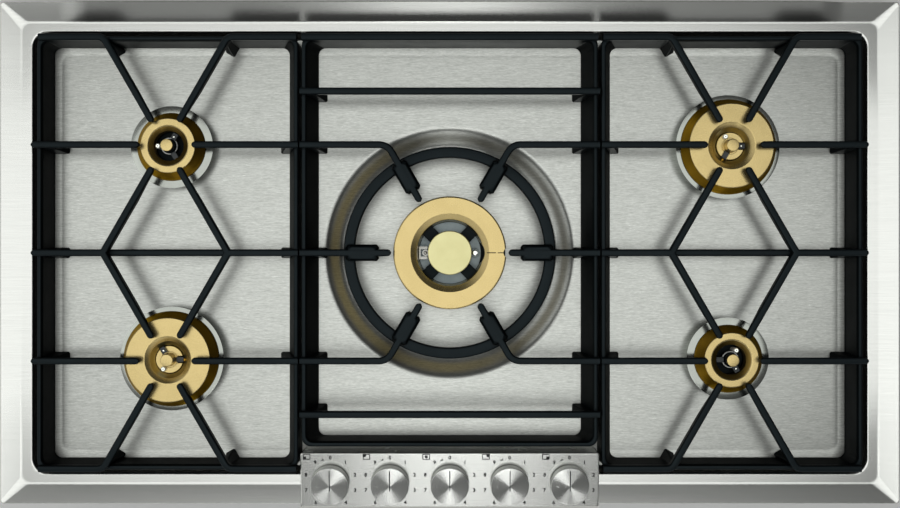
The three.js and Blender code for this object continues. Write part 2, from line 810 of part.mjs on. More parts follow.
// Rails as one closed frame. innerLow and innerHigh are the extra foot widths of the low-X and high-X rails.
function rails(x0, x1, y0, y1, footLow, footHigh) {
  const foot = floorTop + railLift;
  const ring = (low, high, ends, z, radius) => outline(x0 + low, x1 - high, y0 + ends, y1 - ends, radius, z);
  const ridge = railRidge + railEdge;
  const shoulder = ridge + railEdge;
  return skin(
    [
      ring(0, 0, 0, foot, supportCorner),
      ring(0, 0, 0, railTop - railEdge, supportCorner),
      ring(railEdge, railEdge, railEdge, railTop, supportCorner),
      ring(ridge, ridge, ridge, railTop, supportCorner),
      ring(shoulder, shoulder, shoulder, railTop - railShoulder, supportCorner),
      ring(footLow, footHigh, railFoot, foot, supportCorner),
    ],
    true,
  );
}

// A foot under a bar's end: wide on the floor, narrow under the bar.
function gusset(x, y, angle, length) {
  const along = new THREE.Vector3(Math.cos(angle), Math.sin(angle), 0);
  const across = new THREE.Vector3(-along.y, along.x, 0);
  const corner = (a, b, z) =>
    new THREE.Vector3(x, y, z).addScaledVector(along, a).addScaledVector(across, b);
  const ring = (reach, half, z) => [
    corner(0, -half, z), corner(reach, -half, z), corner(reach, half, z), corner(0, half, z),
  ];
  const low = ring(length, footWidth / 2, floorTop + clearance);
  const high = ring(length * gussetTop, fingerWidth / 2 - fingerDraft, underFinger + 1);
  return skin([low, high], false);
}

function ray(x, y, angle, radius, depth) {
  return [x + radius * Math.cos(angle), y + radius * Math.sin(angle), depth];
}

// The left support. Its right-hand twin is its mirror image.
function cornerSupport() {
  const x0 = -supportX;
  const x1 = -cornerInner - barProud;
  const outerEnd = x0 - outerProud;
  const innerEnd = -cornerInner;
  const parts = [rails(x0, x1, -supportY, supportY, railFoot, innerFoot)];
  for (const side of [-1, 1]) {
    const y = side * burnerY;
    const tip = (angle) => [
      ray(-burnerX, y, angle, tipRadius, tipDepth),
      ray(-burnerX, y, angle, deepRadius, fingerDepth),
    ];
    parts.push(
      bar([...tip(Math.PI), [outerEnd, y, fingerDepth]], { roundStart: true, roundEnd: true }),
      bar([...tip(0), [innerEnd, y, fingerDepth]], { roundStart: true }),
      gusset(x0 + 1, y, 0, sideFoot),
      gusset(x1 - 1, y, Math.PI, innerSideFoot),
    );
    const reach = (tallY - burnerY) / Math.sin(diagonal);
    for (const lean of [-1, 1]) {
      const outward = side * (Math.PI / 2 - lean * (Math.PI / 2 - diagonal));
      const inward = -side * (Math.PI / 2 - lean * (Math.PI / 2 - diagonal));
      const turn = ray(-burnerX, y, outward, reach, fingerDepth);
      const end = lean < 0 ? x0 + tallEnd : x1 - edgeGap;
      const straight = [...tip(outward), ray(-burnerX, y, outward, reach - tallBend, fingerDepth)];
      const along = [turn[0] + lean * tallBend, turn[1], fingerDepth];
      parts.push(
        bar([...straight, along, [end, turn[1], fingerDepth]], { roundStart: true }),
        bar([...tip(inward), [-burnerX + lean * junction, 0, fingerDepth]], { roundStart: true }),
        gusset(turn[0], turn[1], outward + Math.PI, diagonalFoot),
      );
    }
  }
  const forkOut = [-burnerX - junction, 0, fingerDepth];
  const forkIn = [-burnerX + junction, 0, fingerDepth];
  parts.push(
    bar([[outerEnd, 0, fingerDepth], forkOut], { roundStart: true }),
    bar([forkIn, [innerEnd, 0, fingerDepth]]),
    bar(
      [[forkOut[0], 0, connectorDepth], [forkIn[0], 0, connectorDepth]],
      { top: fingerTop - connectorDrop },
    ),
    gusset(x0 + 1, 0, 0, sideFoot),
    gusset(x1 - 1, 0, Math.PI, innerSideFoot),
  );
  return join(...parts);
}

function mirrored(body) {
  const mesh = body.getMesh();
  const geometry = new THREE.BufferGeometry();
  geometry.setAttribute("position", new THREE.BufferAttribute(mesh.vertProperties, 3));
  geometry.setIndex(new THREE.BufferAttribute(mesh.triVerts, 1));
  return solid(geometry.scale(-1, 1, 1));
}

function centreSupport() {
  const x1 = centreHalf - barProud;
  const parts = [
    rails(-x1, x1, -centreFront, supportY, innerFoot, innerFoot),
    bar([[edgeGap - x1, tallY, fingerDepth], [x1 - edgeGap, tallY, fingerDepth]], { width: tallWidth }),
    turned(
      [
        [wokRingRadius - wokRingWidth, fingerTop - wokRingDrop - wokRingDepth],
        [wokRingRadius, fingerTop - wokRingDrop - wokRingDepth],
        [wokRingRadius, fingerTop - wokRingDrop],
        [wokRingRadius - wokRingWidth, fingerTop - wokRingDrop],
      ],
      dishSides,
    ),
  ];
  for (const y of [-longBar, longBar]) {
    parts.push(bar([[-centreHalf, y, fingerDepth], [centreHalf, y, fingerDepth]]));
  }
  for (const side of [-1, 1]) {
    const end = side * centreHalf;
    parts.push(
      bar([[side * wokTip, 0, fingerDepth], [end, 0, fingerDepth]], { roundStart: true }),
      wokBlock(side > 0 ? 0 : Math.PI),
    );
    for (const y of [-burnerY, burnerY]) {
      const angle = Math.atan2(y, side * junction);
      const corner = new THREE.Vector3(side * junction, y, 0);
      const tip = new THREE.Vector3(wokTip * Math.cos(angle), wokTip * Math.sin(angle), 0);
      const route = rounded([tip, corner, new THREE.Vector3(end, y, 0)], bendRadius);
      parts.push(
        bar(route.map((point) => [point.x, point.y, fingerDepth]), { roundStart: true }),
        wokBlock(angle),
      );
    }
    for (const y of [-longBar, -burnerY, 0, burnerY, longBar]) {
      parts.push(gusset(side * (x1 - 1), y, side > 0 ? Math.PI : 0, innerSideFoot));
    }
  }
  return join(...parts);
}

// A thick block that carries the wok ring under a finger
function wokBlock(angle) {
  const along = Math.cos(angle);
  const across = Math.sin(angle);
  const corner = (a, b, z) => new THREE.Vector3(a * along - b * across, a * across + b * along, z);
  const ring = (near, far, half, z) => [
    corner(near, -half, z), corner(far, -half, z), corner(far, half, z), corner(near, half, z),
  ];
  const bevel = (blockBase - blockTop) / 2;
  return skin(
    [
      ring(blockInner, wokRingRadius, blockBase / 2, fingerTop - blockDepth),
      ring(blockInner, blockOuter + bevel, blockBase / 2, fingerTop - 2 * bevel),
      ring(blockInner + bevel, blockOuter, blockTop / 2, fingerTop),
    ],
    false,
  );
}

// Corner burner: cup with its collar, brass ring, cap, igniter and flame sensor.
// Height 0 is the well's floor.
function cornerBurner({ name, x, y, kind, igniterAngle, sensorAngle, clipAngle }) {
  const { skirt, crestOuter, crestInner, throat, throatLevel, collar, hole, plate } = kind;
  const step = collar - skirt;
  const lipOuter = skirt - lipInset;
  const lipInner = lipOuter - lipWidth;
  const barrel = hole - clearance;
  const rest = lipLevel + clearance;
  const armAt = (angle) => [armRadius * Math.cos(radians(angle)), armRadius * Math.sin(radians(angle))];
  const armFoot = hubLevel - armSink;
  const clip = (angle, z0, z1) => {
    const geometry = new THREE.BoxGeometry(clipDepth, clipWidth, z1 - z0);
    return solid(geometry.translate(armRadius, 0, (z0 + z1) / 2).rotateZ(radians(angle)));
  };
  const bore = (radius, angle) =>
    rod(radius + clearance, armFoot, hubLevel + 1, smallSides, ...armAt(angle));
  const cup = cut(
    join(
      turned([
        [0, cupBottom],
        [barrel, cupBottom],
        [barrel, clearance],
        [collar - collarChamfer, clearance],
        [collar, collarLevel - collarChamfer],
        [collar, collarLevel],
        [collar - shoulderShare * step, collarLevel + shoulderRise],
        [lipOuter, lipLevel],
        [lipInner, lipLevel],
        [lipInner, cupFloor],
        [hubRadius, cupFloor],
        [hubRadius, hubLevel],
        [postRadius, hubLevel],
        [postRadius, postLevel],
        [0, postLevel],
      ]),
      clip(clipAngle, hubLevel - 1, armTop),
    ),
    bore(igniterRadius, igniterAngle),
    bore(sensorRadius, sensorAngle),
  );
  const under = ringHeight - ringRound - ringWall;
  const ring = turned([
    [skirt, skirtLevel],
    [crestOuter + ringRound / 3, ringHeight - ringRound],
    [crestOuter - ringRound, ringHeight],
    [crestInner + ringRound, ringHeight],
    [throat, throatLevel],
    [throat, skirtLevel + 1],
    [throat + ringWall, skirtLevel + 1],
    [crestInner + ringRound, under],
    [crestOuter - ringRound, under],
    [lipInner, rest],
    [lipOuter, rest],
  ].reverse(), ringSides);
  const head = [[capRadius, capTop - capChamfer], [capRadius - capRound, capTop], [0, capTop]];
  const base = [[0, postLevel + clearance], [capStem, postLevel + clearance]];
  const disc = plate
    ? [[capStem, capPlateTop - capPlateEdge], [plate, capPlateTop - capPlateEdge], [plate, capPlateTop]]
    : [];
  const notch = (angle) => {
    const open = plate - armRadius + clipDepth / 2 + clearance;
    const geometry = new THREE.BoxGeometry(2 * open, clipWidth + 2 * clearance, 2 * capPlateEdge);
    const near = armRadius - clipDepth / 2 - clearance;
    return solid(geometry.translate(near + open, 0, capPlateTop - capPlateEdge / 2).rotateZ(radians(angle)));
  };
  const whole = turned([...base, ...disc, [capStem, capPlateTop], ...head], capSides);
  const cap = plate ? cut(whole, ...[igniterAngle, sensorAngle, clipAngle].map(notch)) : whole;
  const igniter = join(
    rod(igniterRadius, armFoot + clearance, armTop, valveSides, ...armAt(igniterAngle)),
    rod(wireRadius, armTop - 1, armTop + wireLength, wireSides, ...armAt(igniterAngle)),
  );
  const sensor = join(
    rod(sensorRadius, armFoot + clearance, armTop - 1, wireSides, ...armAt(sensorAngle)),
    clip(sensorAngle, armTop - clipHeight, armTop),
  );
  const burner = new THREE.Group();
  burner.position.set(x, y, floorTop);
  burner.add(
    piece("burner_cup_" + name, cup, polished),
    piece("burner_ring_" + name, ring, brass),
    piece("burner_cap_" + name, cap, brass),
    piece("igniter_" + name, igniter, ceramic),
    piece("flame_sensor_" + name, sensor, steel),
  );
  return burner;
}

// Wok burner. Height 0 is the dish's floor.
function wokBurner() {
  const ringTop = ringHeight + dishDepth;
  const rest = wokBaseLevel + clearance;
  const lip = wokBaseRadius - wokLip;
  const armFoot = wokWindow - armSink;
  const capFoot = ringTop - wokCapThick;
  const spokes = [45, 135].map((angle) => {
    const reach = wokThroat - 1;
    const geometry = new THREE.BoxGeometry(2 * reach, wokSpokeWidth, wokSpokeTop - wokWindow + 1);
    return solid(geometry.translate(0, 0, (wokSpokeTop + wokWindow - 1) / 2).rotateZ(radians(angle)));
  });
  const base = cut(
    join(
      turned([
        [0, wokSump],
        [wokSumpRadius, wokSump],
        [wokSumpRadius, clearance],
        [wokBaseRadius - wokBaseTaper, clearance],
        [wokBaseRadius, clearance + wokBaseRise],
        [wokBaseRadius, wokBaseLevel],
        [wokBaseRadius - wokBaseWall, wokBaseLevel],
        [wokBaseRadius - wokBaseWall, wokWindow],
        [wokHub, wokWindow],
        [wokHub, capFoot - clearance],
        [0, capFoot - clearance],
      ]),
      ...spokes,
    ),
    rod(wokIgniter + clearance, armFoot, wokWindow + 1, smallSides, wokArm, 0),
    rod(sensorRadius + clearance, armFoot, wokWindow + 1, smallSides, -wokArm, 0),
  );
  const ring = cut(
    turned(
      [
        [wokRing - wokChamfer, rest],
        [wokRing, rest + wokChamfer],
        [wokRing, ringTop - wokRound],
        [wokRing - wokRound, ringTop],
        [wokFlat, ringTop],
        [wokThroat + wokThroatLean, ringTop - wokBevel],
        [wokThroat, ringTop - wokBevel - wokThroatRise],
        [wokThroat, rest],
        [wokThroat + wokWall, rest],
        [wokThroat + wokWall, ringTop - wokWall],
        [lip, ringTop - wokWall],
        [lip, rest],
      ],
      dishSides,
    ),
    rod(keyholeRadius, rest - 1, ringTop + 1, ringSides, keyholePlace, 0),
    rod(notchRadius, rest - 1, ringTop + 1, smallSides, notchPlace, 0),
    block(wokThroat, notchPlace, -slitWidth / 2, slitWidth / 2, ringTop - slitDepth, ringTop + 1),
  );
  const cap = turned([
    [0, capFoot],
    [wokCap - wokChamfer, capFoot],
    [wokCap, capFoot + wokChamfer],
    [wokCap, ringTop - wokRound],
    [wokCap - wokRound, ringTop],
    [0, ringTop],
  ]);
  const igniter = join(
    rod(wokIgniter, armFoot + clearance, wokArmTop, smallSides, wokArm, 0),
    rod(wireRadius, wokArmTop - 1, wokArmTop + wireLength, wireSides, wokArm, 0),
  );
  const near = -wokArm - bracketDepth / 2;
  const far = -wokArm + bracketDepth / 2;
  const bracketTop = wokArmTop - bracketDrop;
  const sensor = join(
    rod(sensorRadius, armFoot + clearance, wokArmTop - 1, wireSides, -wokArm, 0),
    block(near, far, -bracketWidth / 2, bracketWidth / 2, bracketTop - bracketThick, bracketTop),
  );
  const burner = new THREE.Group();
  burner.position.set(0, 0, dishTop);
  burner.add(
    piece("wok_burner_base", base, iron),
    piece("wok_outer_ring", ring, brass),
    piece("wok_inner_cap", cap, paleBrass),
    piece("wok_igniter", igniter, ceramic),
    piece("wok_flame_sensor", sensor, steel),
  );
  return burner;
}

const hob = new THREE.Group();
hob.position.y = panelOverhang / 2;
hob.add(
  hobPlate(),
  lowerCasing(),
  rimSeal(),
  controlPanel(),
  gasManifold(),
  gasInlet(),
  controlUnit(),
  wokBurner(),
  ...burnerPlaces.map(cornerBurner),
  ...knobPlaces.map(knobSet),
);
for (const place of knobPlaces) {
  const target = burnerPlaces.find(({ name }) => name === place.name);
  hob.add(target
    ? burnerPipe(place, target, target.kind.hole - clearance)
    : burnerPipe(place, { x: 0, y: 0 }, wokSumpRadius));
}
const leftSupport = cornerSupport();
hob.add(
  piece("pan_support_left", leftSupport, iron),
  piece("pan_support_centre", centreSupport(), iron),
  piece("pan_support_right", mirrored(leftSupport), iron),
);
const cooktop = new THREE.Group();
cooktop.add(hob);

export default cooktop;
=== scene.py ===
import math

import bmesh
import bpy
from mathutils import Matrix, Vector


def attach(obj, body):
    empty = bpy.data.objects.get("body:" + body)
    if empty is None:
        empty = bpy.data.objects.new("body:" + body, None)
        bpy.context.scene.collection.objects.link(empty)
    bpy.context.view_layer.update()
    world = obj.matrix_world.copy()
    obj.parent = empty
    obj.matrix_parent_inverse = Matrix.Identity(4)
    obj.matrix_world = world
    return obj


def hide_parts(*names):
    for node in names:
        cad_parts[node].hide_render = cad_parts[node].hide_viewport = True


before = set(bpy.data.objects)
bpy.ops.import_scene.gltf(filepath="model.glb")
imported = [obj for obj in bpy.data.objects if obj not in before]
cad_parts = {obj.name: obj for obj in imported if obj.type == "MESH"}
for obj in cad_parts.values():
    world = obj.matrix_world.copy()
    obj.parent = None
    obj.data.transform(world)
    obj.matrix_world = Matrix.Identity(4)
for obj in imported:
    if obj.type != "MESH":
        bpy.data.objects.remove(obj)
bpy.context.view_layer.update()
print("frame loaded")

mm = 0.001
shiftY = 0.85  # the frame's centre lies this far in front of the middle of the rim

# heights shared by all the pieces, from the flat bottom of the casing
level = {"worktop": 60.0, "band": 62.0, "floor": 39.0, "dish": 29.0, "finger": 89.0, "rail": 79.0}


def place(x, y, z):
    return Vector((x * mm, (y + shiftY) * mm, z * mm))


# a point at an angle in degrees and a distance from the centre
def polar(angle, radius=1.0, centre=(0, 0)):
    a = math.radians(angle)
    return (centre[0] + radius * math.cos(a), centre[1] + radius * math.sin(a))


def circle(centre, radius, z, steps):
    return [(*polar(360 * k / steps, radius, centre), z) for k in range(steps)]


# points on a circular arc in a profile, angles in degrees
def arc(cx, cz, radius, start, end, steps):
    return [polar(start + (end - start) * i / steps, radius, (cx, cz)) for i in range(steps + 1)]


# a rounded rectangle, anticlockwise from the front right corner, with stops along its rear and its sides
def roundedOutline(halfX, halfY, radius, z, steps=8, centre=(0, 0), stops=(), lift=None, sideStops=()):
    between = {
        -90: [(centre[0] + halfX, stop) for stop in sideStops],
        0: [(stop, centre[1] + halfY) for stop in stops],
        90: [(centre[0] - halfX, stop) for stop in reversed(sideStops)],
        180: [],
    }
    points = []
    for sx, sy, start in ((1, -1, -90), (1, 1, 0), (-1, 1, 90), (-1, -1, 180)):
        middle = (centre[0] + sx * (halfX - radius), centre[1] + sy * (halfY - radius))
        points += arc(*middle, radius, start, start + 90, steps) + between[start]
    return [(x, y, z + (lift(x, y) if lift else 0)) for x, y in points]


# rings of points in mm, skinned one to the next
def loft(bm, rings, looped=False, capped=True):
    rows = [[bm.verts.new(place(*p)) for p in ring] for ring in rings]
    pairs = list(zip(rows, rows[1:]))
    if looped:
        pairs.append((rows[-1], rows[0]))
    for low, high in pairs:
        for i in range(len(low)):
            j = (i + 1) % len(low)
            bm.faces.new((low[i], low[j], high[j], high[i]))
    if capped and not looped:
        bm.faces.new(rows[0][::-1])
        bm.faces.new(rows[-1])
    return rows


# a profile of (radius, height) turned about a vertical axis, closed unless it starts on the axis
def lathe(bm, profile, centre=(0, 0), base=0.0, steps=96):
    rows = []
    for radius, height in profile:
        ring = circle(centre, radius, base + height, steps)
        rows.append([bm.verts.new(place(*p)) for p in (ring if radius else ring[:1])])
    pairs = list(zip(rows, rows[1:]))
    if profile[0][0] != 0:
        pairs.append((rows[-1], rows[0]))
    for low, high in pairs:
        for k in range(steps):
            j = (k + 1) % steps
            corners = [low[k % len(low)], low[j % len(low)], high[j % len(high)], high[k % len(high)]]
            bm.faces.new(list(dict.fromkeys(corners)))


# a box in mm, turned about a vertical line, with small rounds on its edges
def block(bm, low, high, turn=0.0, about=(0, 0), bevel=0.0):
    made = bmesh.ops.create_cube(bm, size=1.0)["verts"]
    size = [h - l for l, h in zip(low, high)]
    middle = [(h + l) / 2 for l, h in zip(low, high)]
    spin = Matrix.Rotation(math.radians(turn), 3, "Z")
    for v in made:
        p = spin @ Vector([c * s + m for c, s, m in zip(v.co, size, middle)])
        v.co = place(p.x + about[0], p.y + about[1], p.z)
    if bevel:
        edges = list({e for v in made for e in v.link_edges})
        bmesh.ops.bevel(bm, geom=edges, offset=bevel * mm, segments=2, affect="EDGES", profile=0.7)


# one mesh from calls such as (lathe, profile, centre, base, steps)
def shapes(*calls):
    bm = bmesh.new()
    for build, *values in calls:
        build(bm, *values)
    return bm


def addObject(name, data):
    thing = bpy.data.objects.new(name, data)
    bpy.context.scene.collection.objects.link(thing)
    return thing


def newObject(bm, name, closed=True):
    if closed:
        bmesh.ops.recalc_face_normals(bm, faces=bm.faces)
    mesh = bpy.data.meshes.new(name)
    bm.to_mesh(mesh)
    bm.free()
    return addObject(name, mesh)


def evaluatedMesh(thing):
    graph = bpy.context.evaluated_depsgraph_get()
    return bpy.data.meshes.new_from_object(thing.evaluated_get(graph))


# the evaluated mesh in place of the mesh and its modifiers
def settle(thing):
    mesh, old = evaluatedMesh(thing), thing.data
    thing.modifiers.clear()
    thing.data = mesh
    bpy.data.meshes.remove(old)
    return thing


# one modifier, set and applied
def modify(thing, kind, **values):
    modifier = thing.modifiers.new(kind, kind)
    for key, value in values.items():
        setattr(modifier, key, value)
    return settle(thing)


# cuts the tool's mesh away from the object, or joins it to the object
def combine(thing, bm, operation="DIFFERENCE", solver="EXACT"):
    tool = newObject(bm, "tool")
    modify(thing, "BOOLEAN", operation=operation, solver=solver, object=tool)
    bpy.data.objects.remove(tool)


# fills the flat face between the loops and gives the whole sheet its thickness
def makeSheet(bm, loops, name, thickness):
    edges = []
    for loop in loops:
        for pair in zip(loop, loop[1:] + loop[:1]):
            edges.append(bm.edges.get(pair) or bm.edges.new(pair))
    bmesh.ops.triangle_fill(bm, use_beauty=True, use_dissolve=False, edges=edges)
    bmesh.ops.recalc_face_normals(bm, faces=bm.faces)
    flat = max(bm.faces, key=lambda f: f.calc_area() if abs(f.normal.z) > 0.9 else 0)
    if flat.normal.z < 0:
        bmesh.ops.reverse_faces(bm, faces=bm.faces)
    thing = newObject(bm, name, closed=False)
    return modify(thing, "SOLIDIFY", thickness=thickness * mm, offset=-1, use_even_offset=False)


# a UV map whose U runs across the grain: axis X for lengthways grain, or turned about a centre
def grainMap(mesh, axis, centre=None, tilt=0.0):
    layer = mesh.uv_layers.new(name="grain")
    lean = Matrix.Rotation(-tilt, 3, "X")
    for polygon in mesh.polygons:
        steep = abs(polygon.normal.x) > 0.8
        for index in polygon.loop_indices:
            p = mesh.vertices[mesh.loops[index].vertex_index].co
            if axis == "turned":
                q = lean @ (p - centre)
                layer.data[index].uv = (math.hypot(q.x, q.y) + q.z, math.atan2(q.y, q.x) / math.tau)
            elif steep:
                layer.data[index].uv = (p.z, p.y)
            else:
                layer.data[index].uv = (p.y + p.z * 0.7, p.x)


def finishPiece(
    thing, materials, slotName, hides=(), body="hob", sharp=35, axis="X", centre=None, tilt=0.0
):
    mesh = thing.data
    for polygon in mesh.polygons:
        polygon.use_smooth = True
    mesh.set_sharp_from_angle(angle=math.radians(sharp))
    mesh.materials.clear()
    for material in materials:
        mesh.materials.append(material)
    grainMap(mesh, axis, centre, tilt)
    modify(thing, "WEIGHTED_NORMAL", keep_sharp=True)
    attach(thing, body)
    if hides:
        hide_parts(*hides)


# a finished piece from its mesh, with tools cut away first
def makePiece(name, bm, materials, slotName, hides=(), cuts=(), **finish):
    thing = newObject(bm, name)
    for tool in cuts:
        combine(thing, tool)
    finishPiece(thing, materials, slotName, hides, **finish)
    return thing


# a finished piece turned about a vertical axis
def turnedPiece(name, profile, at, base, steps, materials, slotName, hides=(), cuts=(), **finish):
    return makePiece(
        name, shapes((lathe, profile, at, base, steps)), materials, slotName, hides, cuts, **finish
    )


# gives the faces whose middle passes the test another material
def paintFaces(thing, index, test):
    for polygon in thing.data.polygons:
        c = polygon.center
        if test(c.x / mm, c.y / mm - shiftY, c.z / mm):
            polygon.material_index = index


# the same by distance from a vertical axis and height over its foot
def paintRound(thing, index, centre, base, test):
    paintFaces(thing, index, lambda x, y, z: test(math.hypot(x - centre[0], y - centre[1]), z - base))


# runs the copies tree on the object and keeps the mesh it makes
def multiply(thing, values):
    repeat = thing.modifiers.new("copies", "NODES")
    repeat.node_group = copies
    for name, value in values.items():
        repeat[copySockets[name]] = value
    return settle(thing)


# feeds a node's inputs, each from a socket or from a node's first output
def connect(tree, node, links):
    for key, source in links.items():
        tree.links.new(getattr(source, "outputs", [source])[0], node.inputs[key])


# one node with its settings, its socket values and what feeds it
def addNode(tree, kind, settings=None, sockets=None, links=None):
    node = tree.nodes.new(kind)
    for key, value in (settings or {}).items():
        setattr(node, key, value)
    for key, value in (sockets or {}).items():
        node.inputs[key].default_value = value
    connect(tree, node, links or {})
    return node


# copies of the geometry on a row or a ring of points, made one mesh and given a material
def copiesTree():
    tree = bpy.data.node_groups.new("copies", "GeometryNodeTree")
    sockets = {}
    kinds = {
        "Geometry": "Geometry", "Count": "Int", "Start": "Vector", "Step": "Vector", "Turn": "Float",
        "Radius": "Float", "On a ring": "Bool", "Finish": "Material",
    }
    for name, kind in kinds.items():
        socket = tree.interface.new_socket(name, in_out="INPUT", socket_type="NodeSocket" + kind)
        sockets[name] = socket.identifier
    tree.interface.new_socket("Geometry", in_out="OUTPUT", socket_type="NodeSocketGeometry")
    given = addNode(tree, "NodeGroupInput").outputs
    row = addNode(
        tree, "GeometryNodeMeshLine", {"mode": "OFFSET"},
        links={"Count": given["Count"], "Start Location": given["Start"], "Offset": given["Step"]},
    )
    wheel = addNode(
        tree, "GeometryNodeMeshCircle", links={"Vertices": given["Count"], "Radius": given["Radius"]}
    )
    ring = addNode(tree, "GeometryNodeTransform", links={"Geometry": wheel, "Translation": given["Start"]})
    points = addNode(
        tree, "GeometryNodeSwitch", {"input_type": "GEOMETRY"},
        links={"Switch": given["On a ring"], "False": row, "True": ring},
    )
    number = addNode(tree, "GeometryNodeInputIndex")
    angle = addNode(tree, "ShaderNodeMath", {"operation": "MULTIPLY"}, links={0: number, 1: given["Turn"]})
    facing = addNode(tree, "ShaderNodeCombineXYZ", links={"Z": angle})
    spread = addNode(
        tree, "GeometryNodeInstanceOnPoints",
        links={"Points": points, "Instance": given["Geometry"], "Rotation": facing},
    )
    whole = addNode(tree, "GeometryNodeRealizeInstances", links={"Geometry": spread})
    finished = addNode(
        tree, "GeometryNodeSetMaterial", links={"Geometry": whole, "Material": given["Finish"]}
    )
    addNode(tree, "NodeGroupOutput", links={0: finished})
    return tree, sockets


def linear(hexText):
    channels = [int(hexText[i : i + 2], 16) / 255 for i in (1, 3, 5)]
    curved = [c / 12.92 if c <= 0.04045 else ((c + 0.055) / 1.055) ** 2.4 for c in channels]
    return (*curved, 1.0)


def newMaterial(name, values):
    material = bpy.data.materials.new(name)
    material.use_nodes = True
    shader = material.node_tree.nodes["Principled BSDF"]
    for key, value in values.items():
        shader.inputs[key].default_value = value
    return material, material.node_tree, shader


# a surface whose colour, roughness and relief follow noises with cells of these sizes in mm
def grained(name, metallic, light, dark, roughness, cells, swing, depth, strength, turned=False, **sockets):
    plain = {"Base Color": linear(light), "Metallic": metallic, "Roughness": roughness, **sockets}
    material, tree, shader = newMaterial(name, plain)
    if turned:
        spot = addNode(tree, "ShaderNodeUVMap", {"uv_map": "grain"})
    else:
        spot = addNode(tree, "ShaderNodeTexCoord").outputs["Object"]
    total = None
    for size in cells:
        scaled = addNode(
            tree, "ShaderNodeMapping", None, {"Scale": [1 / (s * mm) for s in size]}, {"Vector": spot}
        )
        fine = {"Scale": 1.0, "Detail": 2.5, "Roughness": 0.6}
        noise = addNode(tree, "ShaderNodeTexNoise", None, fine, {"Vector": scaled})
        if total is None:
            total = noise
        else:
            total = addNode(tree, "ShaderNodeMath", {"operation": "ADD"}, None, {0: total, 1: noise})
    middle, reach = len(cells) / 2, 0.1 + 0.1 * len(cells)
    span = {"From Min": middle - reach, "From Max": middle + reach}
    tone = addNode(tree, "ShaderNodeMapRange", None, span, {"Value": total})
    colours = {6: linear(dark), 7: linear(light)}
    feeds = {
        "Base Color": addNode(tree, "ShaderNodeMix", {"data_type": "RGBA"}, colours, {0: tone}).outputs[2],
        "Normal": addNode(
            tree, "ShaderNodeBump", None, {"Distance": depth * mm, "Strength": strength}, {"Height": total}
        ),
    }
    if swing:
        span = {"To Min": roughness + swing, "To Max": roughness - swing}
        feeds["Roughness"] = addNode(tree, "ShaderNodeMapRange", None, span, {"Value": tone})
    if "Anisotropic" in sockets:
        feeds["Tangent"] = addNode(tree, "ShaderNodeTangent", {"direction_type": "UV_MAP", "uv_map": "grain"})
    connect(tree, shader, feeds)
    return material


# stainless sheet, belt-brushed lengthways: streaks drawn a little coarser than the real 0.1 mm
# scratches so that they show, and a highlight pulled across them
def brushedSteel(name, light, dark, roughness, aniso, streak, scratch, relief):
    cells = [(streak[0], streak[1], streak[0]), (scratch[0], scratch[1], scratch[0])]
    return grained(
        "stainless steel, " + name, 1.0, light, dark, roughness, cells, relief / 3, 0.01, relief,
        Anisotropic=aniso,
    )


# turned on a lathe: fine rings about the axis, read from the piece's own grain map
def turnedMetal(name, light, dark, roughness, aniso, pitch, depth, **sockets):
    return grained(
        name, 1.0, light, dark, roughness, [(pitch, 333, 1000)], 0, depth, 0.5, True, Anisotropic=aniso,
        **sockets,
    )


# blasted and lightly polished: an even satin with sub-millimetre speckle under a cloudy tone
def satinMetal(name, light, dark, roughness, speck=0.5, depth=0.003):
    return grained(name, 1.0, light, dark, roughness, [(speck,) * 3, (18,) * 3], 0.02, depth, 0.4)


# enamel, ceramic, rubber or moulded plastic: a slight orange peel and cloudy tone
def plainCoat(name, light, dark, roughness, peel, depth, strength=0.5, **sockets):
    return grained(
        name, 0.0, light, dark, roughness, [(peel,) * 3, (25,) * 3], 0.03, depth, strength, **sockets
    )


# the black enamel on the supports and cups shines a little blue
def ironEnamel(name, light, dark, roughness, shine):
    sheen = {"Specular IOR Level": shine, "Specular Tint": (0.72, 0.93, 1.0, 1.0)}
    return plainCoat("cast iron, " + name, light, dark, roughness, 0.9, 0.03, 0.4, **sheen)


floorSteel = brushedSteel("belt brushed floor", "#d0d3cd", "#9c9f99", 0.29, 0.30, (12, 0.4), (4, 0.3), 0.05)
rimSteel = brushedSteel("fine brushed rim", "#d9dbd6", "#d1d3ce", 0.24, 0.35, (70, 0.8), (25, 0.6), 0.01)
panelSteel = brushedSteel(
    "fine brushed panel", "#e0e2dd", "#d5d7d2", 0.27, 0.75, (50, 0.4), (15, 0.25), 0.015,
)
knobSteel = turnedMetal("stainless steel, spun", "#e2e4df", "#d8dad6", 0.25, 1.0, 0.4, 0.001)
knobSide = turnedMetal("stainless steel, turned side", "#cdcfcb", "#bdbfbb", 0.42, 0.5, 0.5, 0.006)
castBrass = satinMetal("brass, satin", "#cbb780", "#c6b27a", 0.27, 0.4, 0.001)
turnedBrass = turnedMetal(
    "brass, turned", "#cb9f3e", "#b58a2c", 0.27, 0.4, 0.7, 0.004,
    **{"Specular Tint": (0.95, 0.78, 0.4, 1.0)},
)
innerBrass = turnedMetal("brass, turned inner cone", "#d3c79a", "#beb181", 0.30, 0.4, 0.7, 0.004)
smallBrass = turnedMetal("brass, turned bore", "#c0a05a", "#a4863e", 0.30, 0.4, 0.7, 0.004)
paleBrass = satinMetal("brass, pale satin", "#d8d4a0", "#cfca95", 0.34)
polishedAluminium = satinMetal("aluminium, polished", "#eff3ea", "#e7ebe2", 0.12, 1.5, 0.001)
cupAluminium = satinMetal("aluminium, satin anodised", "#a2a69f", "#9a9e97", 0.15, 0.6, 0.001)
greyAluminium = satinMetal("aluminium, raw cast", "#a6b2b5", "#93a0a3", 0.50, 0.8, 0.03)
satinEnamel = ironEnamel("satin black enamel", "#0f1517", "#0b0f11", 0.38, 0.2)
mattEnamel = ironEnamel("matt black enamel", "#0d1011", "#090b0c", 0.5, 0.2)
